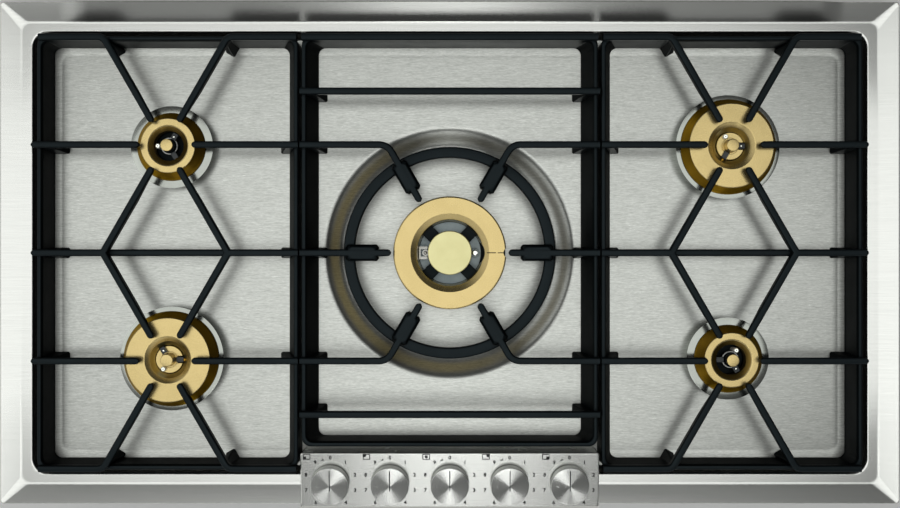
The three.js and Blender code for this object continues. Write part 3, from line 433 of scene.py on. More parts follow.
# painted shade: a darker copy of the enamel with almost no shine, laid on the supports' side walls
shadedWallEnamel = ironEnamel("enamel darkened on the walls as painted shade", "#080c0e", "#05090a", 0.5, 0.02)
whiteCeramic = plainCoat("alumina ceramic, glazed white", "#f4f4f0", "#e8e8e2", 0.22, 1.5, 0.004, 0.3)
greyPrint = plainCoat("dial print, grey ink", "#131414", "#0e0f0f", 0.55, 0.5, 0.002, 0.3)
sealRubber = plainCoat("EPDM foam seal", "#1c1c1c", "#141414", 0.85, 0.7, 0.08, 0.6)
casingZinc = satinMetal("steel sheet, hot-dip galvanised", "#b4b8b8", "#9fa4a5", 0.42, 6.0, 0.01)
zincTube = satinMetal("steel tube, zinc plated", "#b8b8b2", "#a6a6a0", 0.35, 1.0, 0.006)
drawnAluminium = satinMetal("aluminium tube, drawn", "#c4c5c3", "#b6b7b5", 0.35, 1.0, 0.006)
dieCast = satinMetal("aluminium, die cast", "#b3b4b2", "#a4a5a3", 0.48, 1.2, 0.02)
unitPlastic = plainCoat("PBT, moulded black", "#26282a", "#202224", 0.55, 0.8, 0.02, 0.5)
darkSteel = plainCoat("steel, blackened", "#30383a", "#262d2f", 0.35, 0.8, 0.005, 0.3)
copies, copySockets = copiesTree()
print("materials made")

studio = {
    "cameraHeight": 1324.0, "cameraX": 0.2, "cameraY": -1.2, "lens": 50.0, "nearSide": 0.95,
    "farSide": 0.10, "horizon": 0.7, "overhead": 0.14, "leftOverhead": 0.95,
}
# a long softbox overhead, set to the left, and two small ones in front, each seen in one slope
softboxes = {
    "overhead softbox": {"place": (-0.22, 0.0, 4.0), "size": (4.5, 2.3), "power": 33.5, "tilt": 0},
    "front softbox": {"place": (0.0, -1.42, 3.76), "size": (0.8, 0.6), "power": 5.0, "tilt": 21},
    "low softbox": {"place": (0.0, -2.97, 2.68), "size": (0.8, 1.1), "power": 3.7, "tilt": 48},
}
camera = addObject("camera", bpy.data.cameras.new("camera"))
camera.data.lens = studio["lens"]
camera.data.sensor_width = 36.0
camera.data.clip_start = 0.01
camera.data.clip_end = 50.0
camera.location = place(studio["cameraX"], studio["cameraY"], studio["cameraHeight"])
bpy.context.scene.camera = camera
bpy.context.scene.view_settings.view_transform = "Standard"

for name, box in softboxes.items():
    lamp = bpy.data.lights.new(name, "AREA")
    lamp.shape = "ELLIPSE"
    lamp.size, lamp.size_y = box["size"]
    lamp.energy = box["power"]
    light = addObject(name, lamp)
    light.location = box["place"]
    light.rotation_euler = (math.radians(box["tilt"]), 0.0, 0.0)

bm = bmesh.new()
bmesh.ops.create_grid(bm, x_segments=1, y_segments=1, size=30.0)
ground = newObject(bm, "ground", closed=False)
paper = newMaterial("white paper sweep", {"Base Color": linear("#f4f4f2"), "Roughness": 0.9})[0]
ground.data.materials.append(paper)

world = bpy.data.worlds.new("studio")
bpy.context.scene.world = world
world.use_nodes = True
tree = world.node_tree
tree.nodes.clear()
direction = addNode(tree, "ShaderNodeTexCoord")
parts = addNode(tree, "ShaderNodeSeparateXYZ", links={"Vector": direction})

# the room is open to the left and front and dark to the right and rear, above a pale wall all round
towards = addNode(
    tree, "ShaderNodeVectorMath", {"operation": "DOT_PRODUCT"}, {1: (-0.64, -0.77, 0.0)},
    {0: direction},
).outputs["Value"]
fades = {
    "sides": (towards, -0.55, 0.35, studio["farSide"], studio["nearSide"]),
    "wall": (parts.outputs["Z"], 0.02, 0.10, studio["horizon"], 0.0),
    "above": (parts.outputs["Z"], 0.48, 0.64, 0.0, 1.0),
    "left": (parts.outputs["X"], -0.55, -0.30, studio["leftOverhead"], studio["overhead"]),
}
for name, (source, fromLow, fromHigh, low, high) in fades.items():
    fades[name] = addNode(
        tree, "ShaderNodeMapRange", {"interpolation_type": "SMOOTHSTEP"},
        {"From Min": fromLow, "From Max": fromHigh, "To Min": low, "To Max": high}, {"Value": source},
    )
lifted = addNode(
    tree, "ShaderNodeMath", {"operation": "MAXIMUM"}, links={0: fades["sides"], 1: fades["wall"]}
)
top = addNode(
    tree, "ShaderNodeMix", {"data_type": "FLOAT"},
    links={0: fades["above"], 2: lifted, 3: fades["left"]},
)
room = addNode(tree, "ShaderNodeBackground", links={"Strength": top})
addNode(tree, "ShaderNodeOutputWorld", links={"Surface": room})
print("camera, light and room set")

plate = {
    "halfX": 452.0, "halfY": 252.4, "rimTop": 68.0,
    "edge": 1.0,  # round on the rim's outer edge
    "slope": 19.6, "fold": 1.6, "bandX": 9.5, "bandY": 8.4, "cornerRadius": 3.5, "foldRadius": 8.0,
    "wellRadius": 15.0, "lip": 2.5, "draft": 2.0, "fillet": 2.4,
    "floorSag": 1.1,  # the well's floor lies this far under the foot of its wall
    "flatX": 397.6, "flatY": 201.7, "flatRadius": 9.0, "sheet": 1.2, "rise": 4.5, "lean": 0.8,
    "riseHalf": 362.0, "joggle": 36.0, "bigHole": 36.0, "smallHole": 30.0, "dishRadius": 131.0,
    "dishFloor": 108.0, "dishDepth": 10.0, "dishSteps": 16, "dishSides": 144, "sump": 22.3,
    "stops": [300, 200, 100, 0, -100, -200, -300],  # points along the rear, between the two ramps
    "sideStops": [-190, -175, -160, -145, -130, -60, 60, 130, 145, 160, 175, 190],
    "valveOpening": ((-144.5, -238.5, 40.0), (144.5, -202.5, 78.0)),  # under the control panel
}
burnerX, burnerY = 281.6, 107.1
burners = []
for name, sx, sy, big, turn in (
    ("left_front", -1, -1, True, 240), ("left_rear", -1, 1, False, 180), ("right_rear", 1, 1, True, 120),
    ("right_front", 1, -1, False, 60),
):
    burners.append({
        "name": name, "at": (sx * burnerX, sy * burnerY), "big": big,
        "igniter": turn, "sensor": (turn - 120) % 360, "clip": (turn + 120) % 360,
    })


# from 0 to 1 with level ends
def ease(t):
    t = min(max(t, 0.0), 1.0)
    return t * t * (3 - 2 * t)


# the rear edge stands higher in the middle, with a ramp at each end
def edgeRise(x, y):
    if y < plate["halfY"] - 4:
        return 0.0
    return plate["rise"] * ease((plate["riseHalf"] + plate["joggle"] - abs(x)) / plate["joggle"])


def makePlate():
    p = plate
    ramp = [p["riseHalf"] + p["joggle"] * (1 - i / 14) for i in range(15)]
    stops = ramp + p["stops"] + [-s for s in reversed(ramp)]
    top, band, floor = p["rimTop"], level["band"], level["floor"]
    edge, fold = p["edge"], p["fold"]

    # the bands at the sides lean a little towards the middle, less and less near the corners
    def sideLean(x, y, inset):
        if inset < 5 or abs(x) < p["halfX"] - inset - 1.0:
            return 0.0
        return p["lean"] * ease((195 - abs(y)) / 70)

    def outline(halfX, halfY, radius, z, lift=None):
        return roundedOutline(halfX, halfY, radius, z, 8, (0, 0), stops, lift, p["sideStops"])

    def ring(inset, radius, z, rises=0.0):
        return outline(
            p["halfX"] - inset, p["halfY"] - inset, radius, z,
            lambda x, y: rises * edgeRise(x, y + inset) + sideLean(x, y, inset),
        )

    def wellRing(reach, radius, z):
        inset = p["slope"] + reach
        return outline(p["halfX"] - p["bandX"] - inset, p["halfY"] - p["bandY"] - inset, radius, z)

    rings = [ring(0, p["cornerRadius"], level["worktop"]), ring(0, p["cornerRadius"], top - edge, 1.0)]
    for inward, up in arc(edge, top - edge, edge, 150, 90, 2):
        rings.append(ring(inward, p["cornerRadius"], up, 1.0))
    fall = (top - band) / (p["slope"] - edge)
    # the slope folds softly into the flat band
    for beyond, wider, up, rises in (
        (-fold, 0, fall * fold, 0.06), (-fold * 0.3, 0, fall * fold * 0.36, 0.01), (fold * 0.4, 0, 0.04, 0),
        (fold, 1, 0, 0),
    ):
        rings.append(ring(p["slope"] + beyond, p["foldRadius"] + wider, band + up, rises))
    for inward, up in arc(0, band - p["lip"], p["lip"], 90, 10, 6):
        rings.append(wellRing(inward, p["wellRadius"], up))
    foot = floor + p["floorSag"]
    fillet = p["fillet"]
    for inward, up in arc(p["lip"] + p["draft"] + fillet, foot + fillet, fillet, 188, 268, 5):
        rings.append(wellRing(inward, p["wellRadius"] - 1, up))
    for t in (0.12, 0.0):
        halfX, halfY, radius = p["flatX"] + 16 * t, p["flatY"] + 16 * t, p["flatRadius"] + 2 * t
        rings.append(outline(halfX, halfY, radius, floor + p["floorSag"] * t * t))
    bm = bmesh.new()
    loops = [loft(bm, rings, capped=False)[-1]]
    for b in burners:
        hole = circle(b["at"], p["bigHole"] if b["big"] else p["smallHole"], floor, 48)
        loops.append([bm.verts.new(place(*point)) for point in hole])
    dish = []
    for i in range(p["dishSteps"] + 1):
        t = i / p["dishSteps"]
        radius = p["dishRadius"] + (p["dishFloor"] - p["dishRadius"]) * t
        dish.append((radius, floor - p["dishDepth"] * ease(t)))
    dish += [(radius, level["dish"]) for radius in (80, 50, p["sump"])]
    dishRings = [circle((0, 0), radius, z, p["dishSides"]) for radius, z in dish]
    loops.append(loft(bm, dishRings, capped=False)[0])
    thing = makeSheet(bm, loops, "plate", p["sheet"])
    combine(thing, shapes((block, *p["valveOpening"])))
    finishPiece(thing, [floorSteel, rimSteel], "plate_steel", ["hob_plate"], sharp=40)
    paintFaces(thing, 1, lambda x, y, z: z > band - p["lip"] - 0.2)


makePlate()
print("plate made")

casing = {"halfX": 426.5, "halfY": 241.0, "top": 60.4, "radius": 6.0, "foot": 2.5, "sheet": 1.2}


def makeCasing():
    c = casing

    def ring(inset, z, radius):
        return roundedOutline(c["halfX"] - inset, c["halfY"] - inset, radius, z, 6)

    foot = arc(c["foot"], c["foot"], c["foot"], 270, 180, 4)
    rings = [ring(inset, z, c["radius"] - 0.6 * inset) for inset, z in foot]
    rings.append(ring(0, c["top"], c["radius"]))
    rings += [ring(c["sheet"], z, c["radius"] - c["sheet"]) for z in (c["top"], c["sheet"])]
    makePiece("casing", shapes((loft, rings)), [casingZinc], "galvanised_sheet", ["lower_casing"], sharp=40)


makeCasing()
print("casing made")

panel = {
    "halfX": 148.6, "front": -254.0, "rear": -198.6, "rearTop": 84.0, "frontTop": 76.0, "edge": 1.3,
    "corner": 2.2, "sheet": 1.2, "bore": 4.8, "knobRow": 30.5, "pitch": 59.35,
    "sideStops": [-253.0, -251.5, -251.2, -242.0, -232.9, -224.0, -220.5, -220.1, -210.0],
}
panelTilt = math.atan2(panel["rearTop"] - panel["frontTop"], panel["rear"] - panel["front"])
knobY = panel["rear"] - panel["knobRow"] * math.cos(panelTilt)
knobZ = panel["rearTop"] - panel["knobRow"] * math.sin(panelTilt)
knobNames = ["left_front", "left_rear", "wok", "right_rear", "right_front"]
knobX = {name: (i - 2) * panel["pitch"] for i, name in enumerate(knobNames)}


def faceHeight(y):
    return panel["rearTop"] - (panel["rear"] - y) * math.tan(panelTilt)


# a point from the knob row's middle: along the face to the rear, and up from the face, in mm
def onPanel(x, along, up):
    y = knobY + along * math.cos(panelTilt) - up * math.sin(panelTilt)
    z = knobZ + along * math.sin(panelTilt) + up * math.cos(panelTilt)
    return (x, y, z)


# top of the plate at the panel's sides
def plateHeight(y):
    front = -plate["halfY"]
    if y < front + 1:
        return level["worktop"] + 0.6
    if y < front + plate["slope"]:
        t = (y - front - 1) / (plate["slope"] - 1)
        return plate["rimTop"] + (level["band"] - plate["rimTop"]) * t + 0.3
    if y < front + plate["slope"] + plate["bandY"] + 4:
        return level["band"] + 0.3
    return level["floor"] + 1.6


def makePanel():
    p = panel
    middle = (0, (p["front"] + p["rear"]) / 2)
    halfY = (p["rear"] - p["front"]) / 2

    def ring(inset, heightOf):
        radius = max(p["corner"] - inset * 0.6, 0.6)
        return roundedOutline(
            p["halfX"] - inset, halfY - inset, radius, 0, 6, middle, (), lambda x, y: heightOf(y),
            p["sideStops"]
        )

    rings = [ring(0, plateHeight), ring(0, lambda y: faceHeight(y) - p["edge"] - 0.01)]
    for inward, up in arc(p["edge"], -p["edge"], p["edge"], 157.5, 90, 3):
        rings.append(ring(inward, lambda y: faceHeight(y) + up))
    bm = bmesh.new()
    loops = [loft(bm, rings, capped=False)[-1]]
    for x in knobX.values():
        hole = [onPanel(*point) for point in circle((x, 0), p["bore"], 0, 32)]
        loops.append([bm.verts.new(place(*point)) for point in hole])
    thing = makeSheet(bm, loops, "panel", p["sheet"])
    finishPiece(thing, [panelSteel], "panel_steel", ["control_panel"], sharp=40)


makePanel()
print("panel made")

dial = {
    "radius": 25.6, "under": 21.4, "digit": 5.1, "bold": 0.20, "lift": 0.06, "thick": 0.05,
    "iconX": -23.4, "iconY": 26.6, "iconW": 7.4, "iconH": 5.8, "line": 0.8, "spot": 2.8,
    "inset": 0.4,
    "ramp": [(-9.7, 22.7), (-6.7, 22.7), (-6.7, 24.7)],
    "spots": {
        "left_front": (-1, -1), "left_rear": (-1, 1), "wok": (0, 0), "right_rear": (1, 1),
        "right_front": (1, -1)
    },
}


# a digit's points and faces, in mm about its middle
def textMesh(text, size):
    curve = bpy.data.curves.new("digit", "FONT")
    curve.body = text
    curve.size = size
    curve.offset = dial["bold"]
    curve.align_x = curve.align_y = "CENTER"
    curve.resolution_u = 4
    holder = addObject("digit", curve)
    mesh = evaluatedMesh(holder)
    flat = [Vector(v.co) for v in mesh.vertices]
    faces = [tuple(f.vertices) for f in mesh.polygons]
    bpy.data.objects.remove(holder)
    bpy.data.curves.remove(curve)
    bpy.data.meshes.remove(mesh)
    return flat, faces


# a flat shape in mm on the face, given a little thickness
def printShape(bm, points, faces):
    rows = []
    for up in (dial["lift"], dial["lift"] + dial["thick"]):
        rows.append([bm.verts.new(place(*onPanel(x, along, up))) for x, along in points])
    for face in faces:
        bm.faces.new([rows[1][i] for i in face])
        bm.faces.new([rows[0][i] for i in reversed(face)])
    sides = dict.fromkeys(side for face in faces for side in zip(face, face[1:] + face[:1]))
    for i, j in sides:
        if (j, i) not in sides:
            bm.faces.new((rows[1][j], rows[1][i], rows[0][i], rows[0][j]))


def rectangle(cx, cy, halfW, halfH):
    return [(cx + sx * halfW, cy + sy * halfH) for sx, sy in ((-1, -1), (1, -1), (1, 1), (-1, 1))]


def makeDialMarks():
    d = dial
    halfW, halfH = d["iconW"] / 2, d["iconH"] / 2
    bm = bmesh.new()
    for digit in range(10):
        reach = d["under"] if digit == 5 else d["radius"]  # the 5 stands under the knob's front edge
        cx, cy = polar(90 - 36 * digit, reach)
        flat, faces = textMesh(str(digit), d["digit"])
        printShape(bm, [(cx + v.x, cy + v.y) for v in flat], faces)
    printShape(bm, d["ramp"], [(0, 1, 2)])
    frameLines = rectangle(d["iconX"], d["iconY"], halfW, halfH)
    frameLines += rectangle(d["iconX"], d["iconY"], halfW - d["line"], halfH - d["line"])
    printShape(bm, frameLines, [(i, (i + 1) % 4, 4 + (i + 1) % 4, 4 + i) for i in range(4)])
    thing = newObject(bm, "dial_marks", closed=False)
    pitch = panel["pitch"] * mm
    multiply(
        thing, {"Count": 5, "Start": (-2 * pitch, 0.0, 0.0), "Step": (pitch, 0.0, 0.0), "Finish": greyPrint}
    )
    finishPiece(thing, [greyPrint], "unit_plastic")
    bm = bmesh.new()
    half = d["spot"] / 2
    for name, (sx, sy) in d["spots"].items():
        cx = knobX[name] + d["iconX"] + sx * (halfW - d["inset"] - half)
        cy = d["iconY"] + sy * (halfH - d["inset"] - half)
        printShape(bm, rectangle(cx, cy, half, half), [(0, 1, 2, 3)])
    finishPiece(newObject(bm, "zone_marks", closed=False), [greyPrint], "unit_plastic")


makeDialMarks()
print("dial marks made")

knob = {
    "radius": 18.9, "low": 2.6, "high": 13.05, "edge": 0.7, "crown": 0.45, "slotLength": 21.0,
    "slotWidth": 1.0, "slotDepth": 0.7, "slotRear": 16.2,
}


def makeKnob(name, x):
    k = knob
    radius, low, high, edge = k["radius"], k["low"], k["high"], k["edge"]
    profile = [(0, low + 0.4), (radius - 1.6, low + 0.4), (radius - 1.2, low), (radius - 0.4, low)]
    profile += [(radius, low + 0.4), (radius, high - edge)]
    profile += arc(radius - edge, high - edge, edge, 30, 90, 2)
    profile += [((radius - edge) * t / 8, high + k["crown"] * (1 - (t / 8) ** 2)) for t in range(7, -1, -1)]
    thing = newObject(shapes((lathe, profile)), "knob_" + name)
    half, rear = k["slotWidth"] / 2, k["slotRear"]
    slot = ((-half, rear - k["slotLength"], high - k["slotDepth"]), (half, rear, high + k["slotDepth"]))
    combine(thing, shapes((block, *slot)))
    lean = Matrix.Rotation(panelTilt, 4, "X")
    centre = place(x, knobY, knobZ)
    thing.data.transform(Matrix.Translation(centre) @ lean @ Matrix.Translation(-place(0, 0, 0)))
    thing.data.update()
    finishPiece(
        thing, [knobSteel, knobSide, mattEnamel], "knob_steel", ["knob_" + name], "knob_" + name,
        sharp=30, axis="turned", centre=centre, tilt=panelTilt,
    )
    # painted shade: the slot's walls and floor take the matt black enamel; rougher turned metal runs down the
    # side
    upright = lean.to_3x3().inverted()
    for polygon in thing.data.polygons:
        across, along, up = upright @ (polygon.center - centre) / mm
        overSlot = abs(across) < half + 0.01 and math.hypot(across, along) < 17
        deep = abs(polygon.normal.x) > 0.5 or up < high - 0.3
        if overSlot and deep and high - 1.0 < up < high + 0.3:
            polygon.material_index = 2
        elif (upright @ polygon.normal).z < 0.5:
            polygon.material_index = 1


for name, x in knobX.items():
    makeKnob(name, x)
print("knobs made")

support = {
    "width": 7.0, "depth": 14.0, "tipRadius": 26.0, "tipDepth": 8.0, "slopeRadius": 44.0,
    "slopeDepth": 10.4, "deepRadius": 62.0, "forkDepth": 10.0, "outerX": 411.3, "outerY": 216.0,
    "ridge": 3.8, "foot": 6.0, "innerFoot": 13.0, "corner": 9.0, "split": 149.45, "splitGap": 1.7,
    "tallY": 213.8, "tallWidth": 7.2, "longBar": 160.2, "front": 193.1, "ringOuter": 106.0,
    "ringInner": 95.0, "ringTop": 75.0, "ringDepth": 9.0, "wokTip": 58.3, "wokTipDepth": 9.0,
    "wokDeep": 71.0, "bend": 15.0,
    # near end, far end, half width and depth under the top of a block that carries the wok ring
    "outerGusset": 20, "innerGusset": 21, "turnGusset": 12,
    "wokBlock": [
        (71.0, 105.5, 8.3, 21), (71.0, 103.0, 8.3, 6.0), (71.6, 101.6, 7.6, 3.2), (73.0, 100.6, 6.2, 1.0),
        (74.4, 99.6, 5.2, 0.1),
    ],
}
junction = burnerY / math.tan(math.radians(60))


# half of a cast bar's section, from its underside up and over to the flat top
def barSection(width, depth, top):
    w = width / 2
    right = [
        (w - 1.5, top - depth), (w - 0.95, top - depth + 0.6), (w - 0.05, top - 2.6), (w - 0.12, top - 1.6),
        (w - 0.5, top - 0.85), (w - 1.05, top - 0.3), (w - 1.75, top),
    ]
    return right + [(-a, z) for a, z in reversed(right)]


# a bar through stops of (x, y, depth) in mm, with round noses where they are asked for
def castBar(stops, top=level["finger"], width=support["width"], roundStart=False, roundEnd=False):
    points = [Vector(s[:2]) for s in stops]

    # each station is a point, the bar's depth, and how far a nose narrows and drops there
    def nose(end, inner, depth):
        along = (inner - end).normalized()
        made = []
        for angle in (8, 25, 45, 65, 90):
            c, s = polar(angle)
            made.append((end + along * (width / 2) * (1 - c), depth, s, 0.9 * (1 - s) ** 2))
        return made

    stations = [(point, stop[2], 1.0, 0.0) for point, stop in zip(points, stops)]
    if roundStart:
        stations[:1] = nose(points[0], points[1], stops[0][2])
    if roundEnd:
        stations[-1:] = nose(points[-1], points[-2], stops[-1][2])[::-1]
    rings = []
    for i, (at, depth, narrow, drop) in enumerate(stations):
        before = stations[max(i - 1, 0)][0]
        after = stations[min(i + 1, len(stations) - 1)][0]
        into = (at - before).normalized() if i else (after - at).normalized()
        out = (after - at).normalized() if i < len(stations) - 1 else into
        along = (into + out).normalized()
        mitre = 1 / max(along.dot(into), 0.5)
        across = Vector((-along.y, along.x)) * mitre * narrow
        section = [(a, z - drop if z > top - 3 else z) for a, z in barSection(width, depth, top)]
        rings.append([(at.x + across.x * a, at.y + across.y * a, z) for a, z in section])
    return shapes((loft, rings))


# rounds the corners of a flat route
def smoothBend(points, radius, steps=10):
    made = [points[0]]
    for before, corner, after in zip(points, points[1:], points[2:]):
        corner = Vector(corner)
        a = (Vector(before) - corner).normalized()
        b = (Vector(after) - corner).normalized()
        reach = radius / math.tan(a.angle(b) / 2)
        for i in range(steps + 1):
            t = i / steps
            made.append(tuple(corner + a * reach * (1 - t) ** 2 + b * reach * t * t))
    made.append(points[-1])
    return made


# the upright rail round a support, with a foot inside and a ridge on top
def railFrame(x0, x1, y0, y1, footLow, footHigh):
    s = support
    top = level["rail"]
    foot = level["floor"] + 1.5
    r = s["ridge"]
    softer = s["corner"] - 1.5

    def ring(low, high, ends, z, radius):
        middle = ((x0 + low + x1 - high) / 2, (y0 + y1) / 2)
        return roundedOutline((x1 - high - x0 - low) / 2, (y1 - y0) / 2 - ends, radius, z, 6, middle)

    wall = [
        (0, foot + 0.6), (0, top - 1.2), (0.25, top - 0.5), (0.9, top - 0.05), (r * 0.5, top + 0.05),
        (r - 0.4, top - 0.1), (r + 0.2, top - 0.8), (r + 0.6, top - 2.2), (r + 1.3, top - 4.4),
    ]
    rings = [ring(0.5, 0.5, 0.5, foot, s["corner"])]
    rings += [ring(inset, inset, inset, z, s["corner"] - 0.3 * inset) for inset, z in wall]
    for less, lessAtEnds, up in ((0.4, 0.2, 2.2), (0, 0, 0.5), (0.6, 0.6, 0)):
        rings.append(ring(footLow - less, footHigh - less, s["foot"] - lessAtEnds, foot + up, softer))
    return shapes((loft, rings, True))


# flat half outlines, mirrored, turned to an angle about a point and skinned up the heights
def turnedLoft(angle, about, sides):
    along = Vector(polar(angle))
    across = Vector((-along.y, along.x))
    rings = []
    for side, z in sides:
        flat = [(u, -v) for u, v in side] + side[::-1]
        rings.append([(*(Vector(about) + along * u + across * v), z) for u, v in flat])
    return shapes((loft, rings))


# a bracket that runs down the rail from under a bar's end
def gusset(x, y, angle, length, width=11.0):
    under = level["finger"] - support["depth"]
    sides = []
    for reach, half, z in (
        (length, width / 2, level["floor"] + 0.4), (length - 0.3, width / 2 - 0.4, level["floor"] + 3.0),
        (length * 0.82, 3.6, level["floor"] + 20.0), (length * 0.6, 2.6, under + 1.0),
    ):
        soft = min(1.6, half * 0.5)
        side = [
            (0, half), (reach - soft, half), (reach - 0.4 * soft, half - 0.35 * soft), (reach, half - soft)
        ]
        sides.append((side, z))
    return turnedLoft(angle, (x, y), sides)


def wokBlock(angle):
    soft = 2.4
    sides = []
    for near, far, half, under in support["wokBlock"]:
        side = [(near, half - soft), (near + soft, half), (far - soft, half), (far, half - soft)]
        sides.append((side, level["finger"] - under))
    return turnedLoft(angle, (0, 0), sides)


def cornerSupportParts():
    s = support
    depth = s["depth"]
    x0, x1 = -s["outerX"], -(s["split"] + s["splitGap"] / 2) - 1.0
    outerEnd, innerEnd = x0 - 3.2, x1 + 1.0
    parts = [railFrame(x0, x1, -s["outerY"], s["outerY"], s["foot"], s["innerFoot"])]
    for side in (-1, 1):
        y = side * burnerY

        def spoke(angle, radius):
            return polar(angle, radius, (-burnerX, y))

        def finger(angle, rest, **ends):
            tip = [
                (s["tipRadius"], s["tipDepth"]), (s["slopeRadius"], s["slopeDepth"]),
                (s["deepRadius"], depth)
            ]
            stops = [(*spoke(angle, radius), deep) for radius, deep in tip]
            parts.append(castBar(stops + [(*point, depth) for point in rest], roundStart=True, **ends))

        finger(180, [(outerEnd, y)], roundEnd=True)
        finger(0, [(innerEnd, y)])
        parts += [gusset(x0 + 1, y, 0, s["outerGusset"]), gusset(x1 - 1, y, 180, s["innerGusset"])]
        reach = (s["tallY"] - burnerY) / math.sin(math.radians(60))
        for lean in (-1, 1):
            outward = side * (90 - lean * 30)
            turn = spoke(outward, reach)
            end = x0 + 4 if lean < 0 else x1 - 0.7
            finger(outward, smoothBend([spoke(outward, reach - 30), turn, (end, turn[1])], s["corner"], 6))
            finger(-outward, [(-burnerX + lean * junction, 0)])
            parts.append(gusset(*turn, outward + 180, s["turnGusset"]))
    forkOut, forkIn = -burnerX - junction, -burnerX + junction
    parts.append(castBar([(outerEnd, 0, depth), (forkOut, 0, depth)], roundStart=True))
    parts.append(castBar([(forkIn, 0, depth), (innerEnd, 0, depth)]))
    low = s["forkDepth"]
    parts.append(castBar([(forkOut, 0, low), (forkIn, 0, low)], top=level["finger"] - low))
    return parts + [gusset(x0 + 1, 0, 0, s["outerGusset"]), gusset(x1 - 1, 0, 180, s["innerGusset"])]


def centreSupportParts():
    s = support
    depth = s["depth"]
    half = s["split"] - s["splitGap"] / 2
    x1 = half - 1.0
    parts = [railFrame(-x1, x1, -s["front"], s["outerY"], s["innerFoot"], s["innerFoot"])]
    parts.append(
        castBar([(0.7 - x1, s["tallY"], depth), (x1 - 0.7, s["tallY"], depth)], width=s["tallWidth"])
    )
    outer, inner = s["ringOuter"], s["ringInner"]
    t, b = s["ringTop"], s["ringTop"] - s["ringDepth"]
    profile = [
        (inner + 0.8, b), (outer - 0.8, b), (outer, b + 1.0), (outer, t - 2.0), (outer - 0.6, t - 0.7),
        (outer - 1.8, t), (inner + 1.8, t), (inner + 0.6, t - 0.7), (inner, t - 2.0), (inner, b + 1.0),
    ]
    parts.append(shapes((lathe, profile, (0, 0), 0.0, 120)))
    for y in (-s["longBar"], s["longBar"]):
        parts.append(castBar([(-half, y, depth), (half, y, depth)]))
    for side in (-1, 1):
        end = side * half
        for y in (0, -burnerY, burnerY):
            angle = math.degrees(math.atan2(y, side * junction))
            deep = polar(angle, s["wokDeep"])
            route = smoothBend([deep, (side * junction, y), (end, y)], s["bend"]) if y else [deep, (end, 0)]
            stops = [(*polar(angle, s["wokTip"]), s["wokTipDepth"])] + [(*point, depth) for point in route]
            parts.append(castBar(stops, roundStart=True))
            parts.append(wokBlock(angle))
        for y in (-s["longBar"], -burnerY, 0, burnerY, s["longBar"]):
            parts.append(gusset(side * (x1 - 1), y, 180 if side > 0 else 0, s["innerGusset"]))
    return parts


# joins closed shells into one solid casting
def unite(parts, name):
    whole = newObject(parts[0], name)
    for part in parts[1:]:
        combine(whole, part, "UNION", "MANIFOLD")
    return whole


def makeSupports():
    left = unite(cornerSupportParts(), "support_left")
    right = addObject("support_right", left.data.copy())
    right.data.transform(Matrix.Scale(-1, 4, (1, 0, 0)))
    right.data.flip_normals()
    centre = unite(centreSupportParts(), "support_centre")
    for thing, key in ((left, "left"), (centre, "centre"), (right, "right")):
        finishPiece(
            thing, [satinEnamel, shadedWallEnamel], "support_iron", ["pan_support_" + key], "support_" + key,
            sharp=32
        )
        # painted shade: the walls take a darker enamel with almost no shine, apart from those that face the
        # front, which keep the lighter enamel
        for polygon in thing.data.polygons:
            if abs(polygon.normal.z) < 0.6 and polygon.normal.y > -0.93:
                polygon.material_index = 1


makeSupports()
print("pan supports made")

# the corner burners, with heights from the well's floor and profiles of (radius, height)
corner = {
    "big": {
        "skirt": 48.2, "skirtRound": 0.35, "crestOuter": 41.8,
        "outerStart": 20,  # degrees at which the crest's outer round starts
        "innerRound": (24.0, 2.0, 118, 4),  # its centre's radius, its own radius, last degree and steps
        "crestInner": 24.0, "innerEdge": 18.9, "innerDrop": 3.0, "stepDrop": 0.6, "throat": 14.4,
        "throatLevel": 28.4,
        "innerMetal": innerBrass,
        "collar": 52.5, "hole": 35.7,
        "capFoot": [
            (0, 22.3), (7.4, 22.3), (7.4, 26.6), (13.2, 26.6), (13.65, 27.0), (13.65, 29.2), (13.25, 29.6),
            (8.4, 29.6), (8.0, 29.0), (7.0, 29.0), (6.9, 29.6),
        ],
    },
    "small": {
        "skirt": 34.4, "skirtRound": 0.3, "crestOuter": 26.9, "outerStart": 26,
        "innerRound": (21.2, 2.6, 120, 5),
        "crestInner": 20.4, "innerEdge": 19.2, "innerDrop": 0.9, "stepDrop": 0.35, "throat": 15.2,
        "throatLevel": 33.5,
        "innerMetal": smallBrass,
        "collar": 41.6, "hole": 29.7,
        "capFoot": [
            (0, 22.3), (7.4, 22.3), (7.6, 28.4), (8.6, 28.8), (8.6, 30.0), (8.2, 30.4), (7.6, 30.4),
            (7.2, 29.4),
            (6.3, 29.2),
        ],
    },
    "steep": 7,  # the collar's slope at its edge and at the cup's lip, in degrees
    "flat": 1, "cupFoot": -29.7, "cupLip": 19.0,
    "cupInside": [(15.5, 3.0), (15.5, 15.6), (15.1, 16.0), (7.2, 16.0), (7.2, 22.0), (0, 22.0)],
    "ringTop": 37.5, "ports": 48,
    "portSize": (3.0, 1.8, 1.4),
    "portLevel": 19.85, "capTop": 43.5,
    "notch": ((8.1, -3.8, 25), (15.0, 3.8, 31)),
    "arm": 10.8,
    "igniter": [(0, 7.3), (2.6, 7.3), (2.6, 33.0), (2.35, 33.6), (1.8, 34.0), (0, 34.0)],
    "igniterPin": [(0, 33.8), (0.6, 33.8), (0.6, 34.8), (0.4, 35.1), (0, 35.1)],
    "sensorBox": ((7.6, -2.7, 26.8), (14.2, 2.7, 32.4)),
    "sensorRod": [(0, 7.3), (1.6, 7.3), (1.6, 27.0), (0, 27.0)],
    "sensorTip": [(0, 32.2), (1.3, 32.2), (1.3, 33.1), (0.9, 33.7), (0, 33.9)],
    "clipBox": ((7.2, -2.6, 16.0), (14.4, 2.6, 31.6)),
    "clipBall": 15.6,
}


def lifted(box, base):
    return [(x, y, z + base) for x, y, z in box]


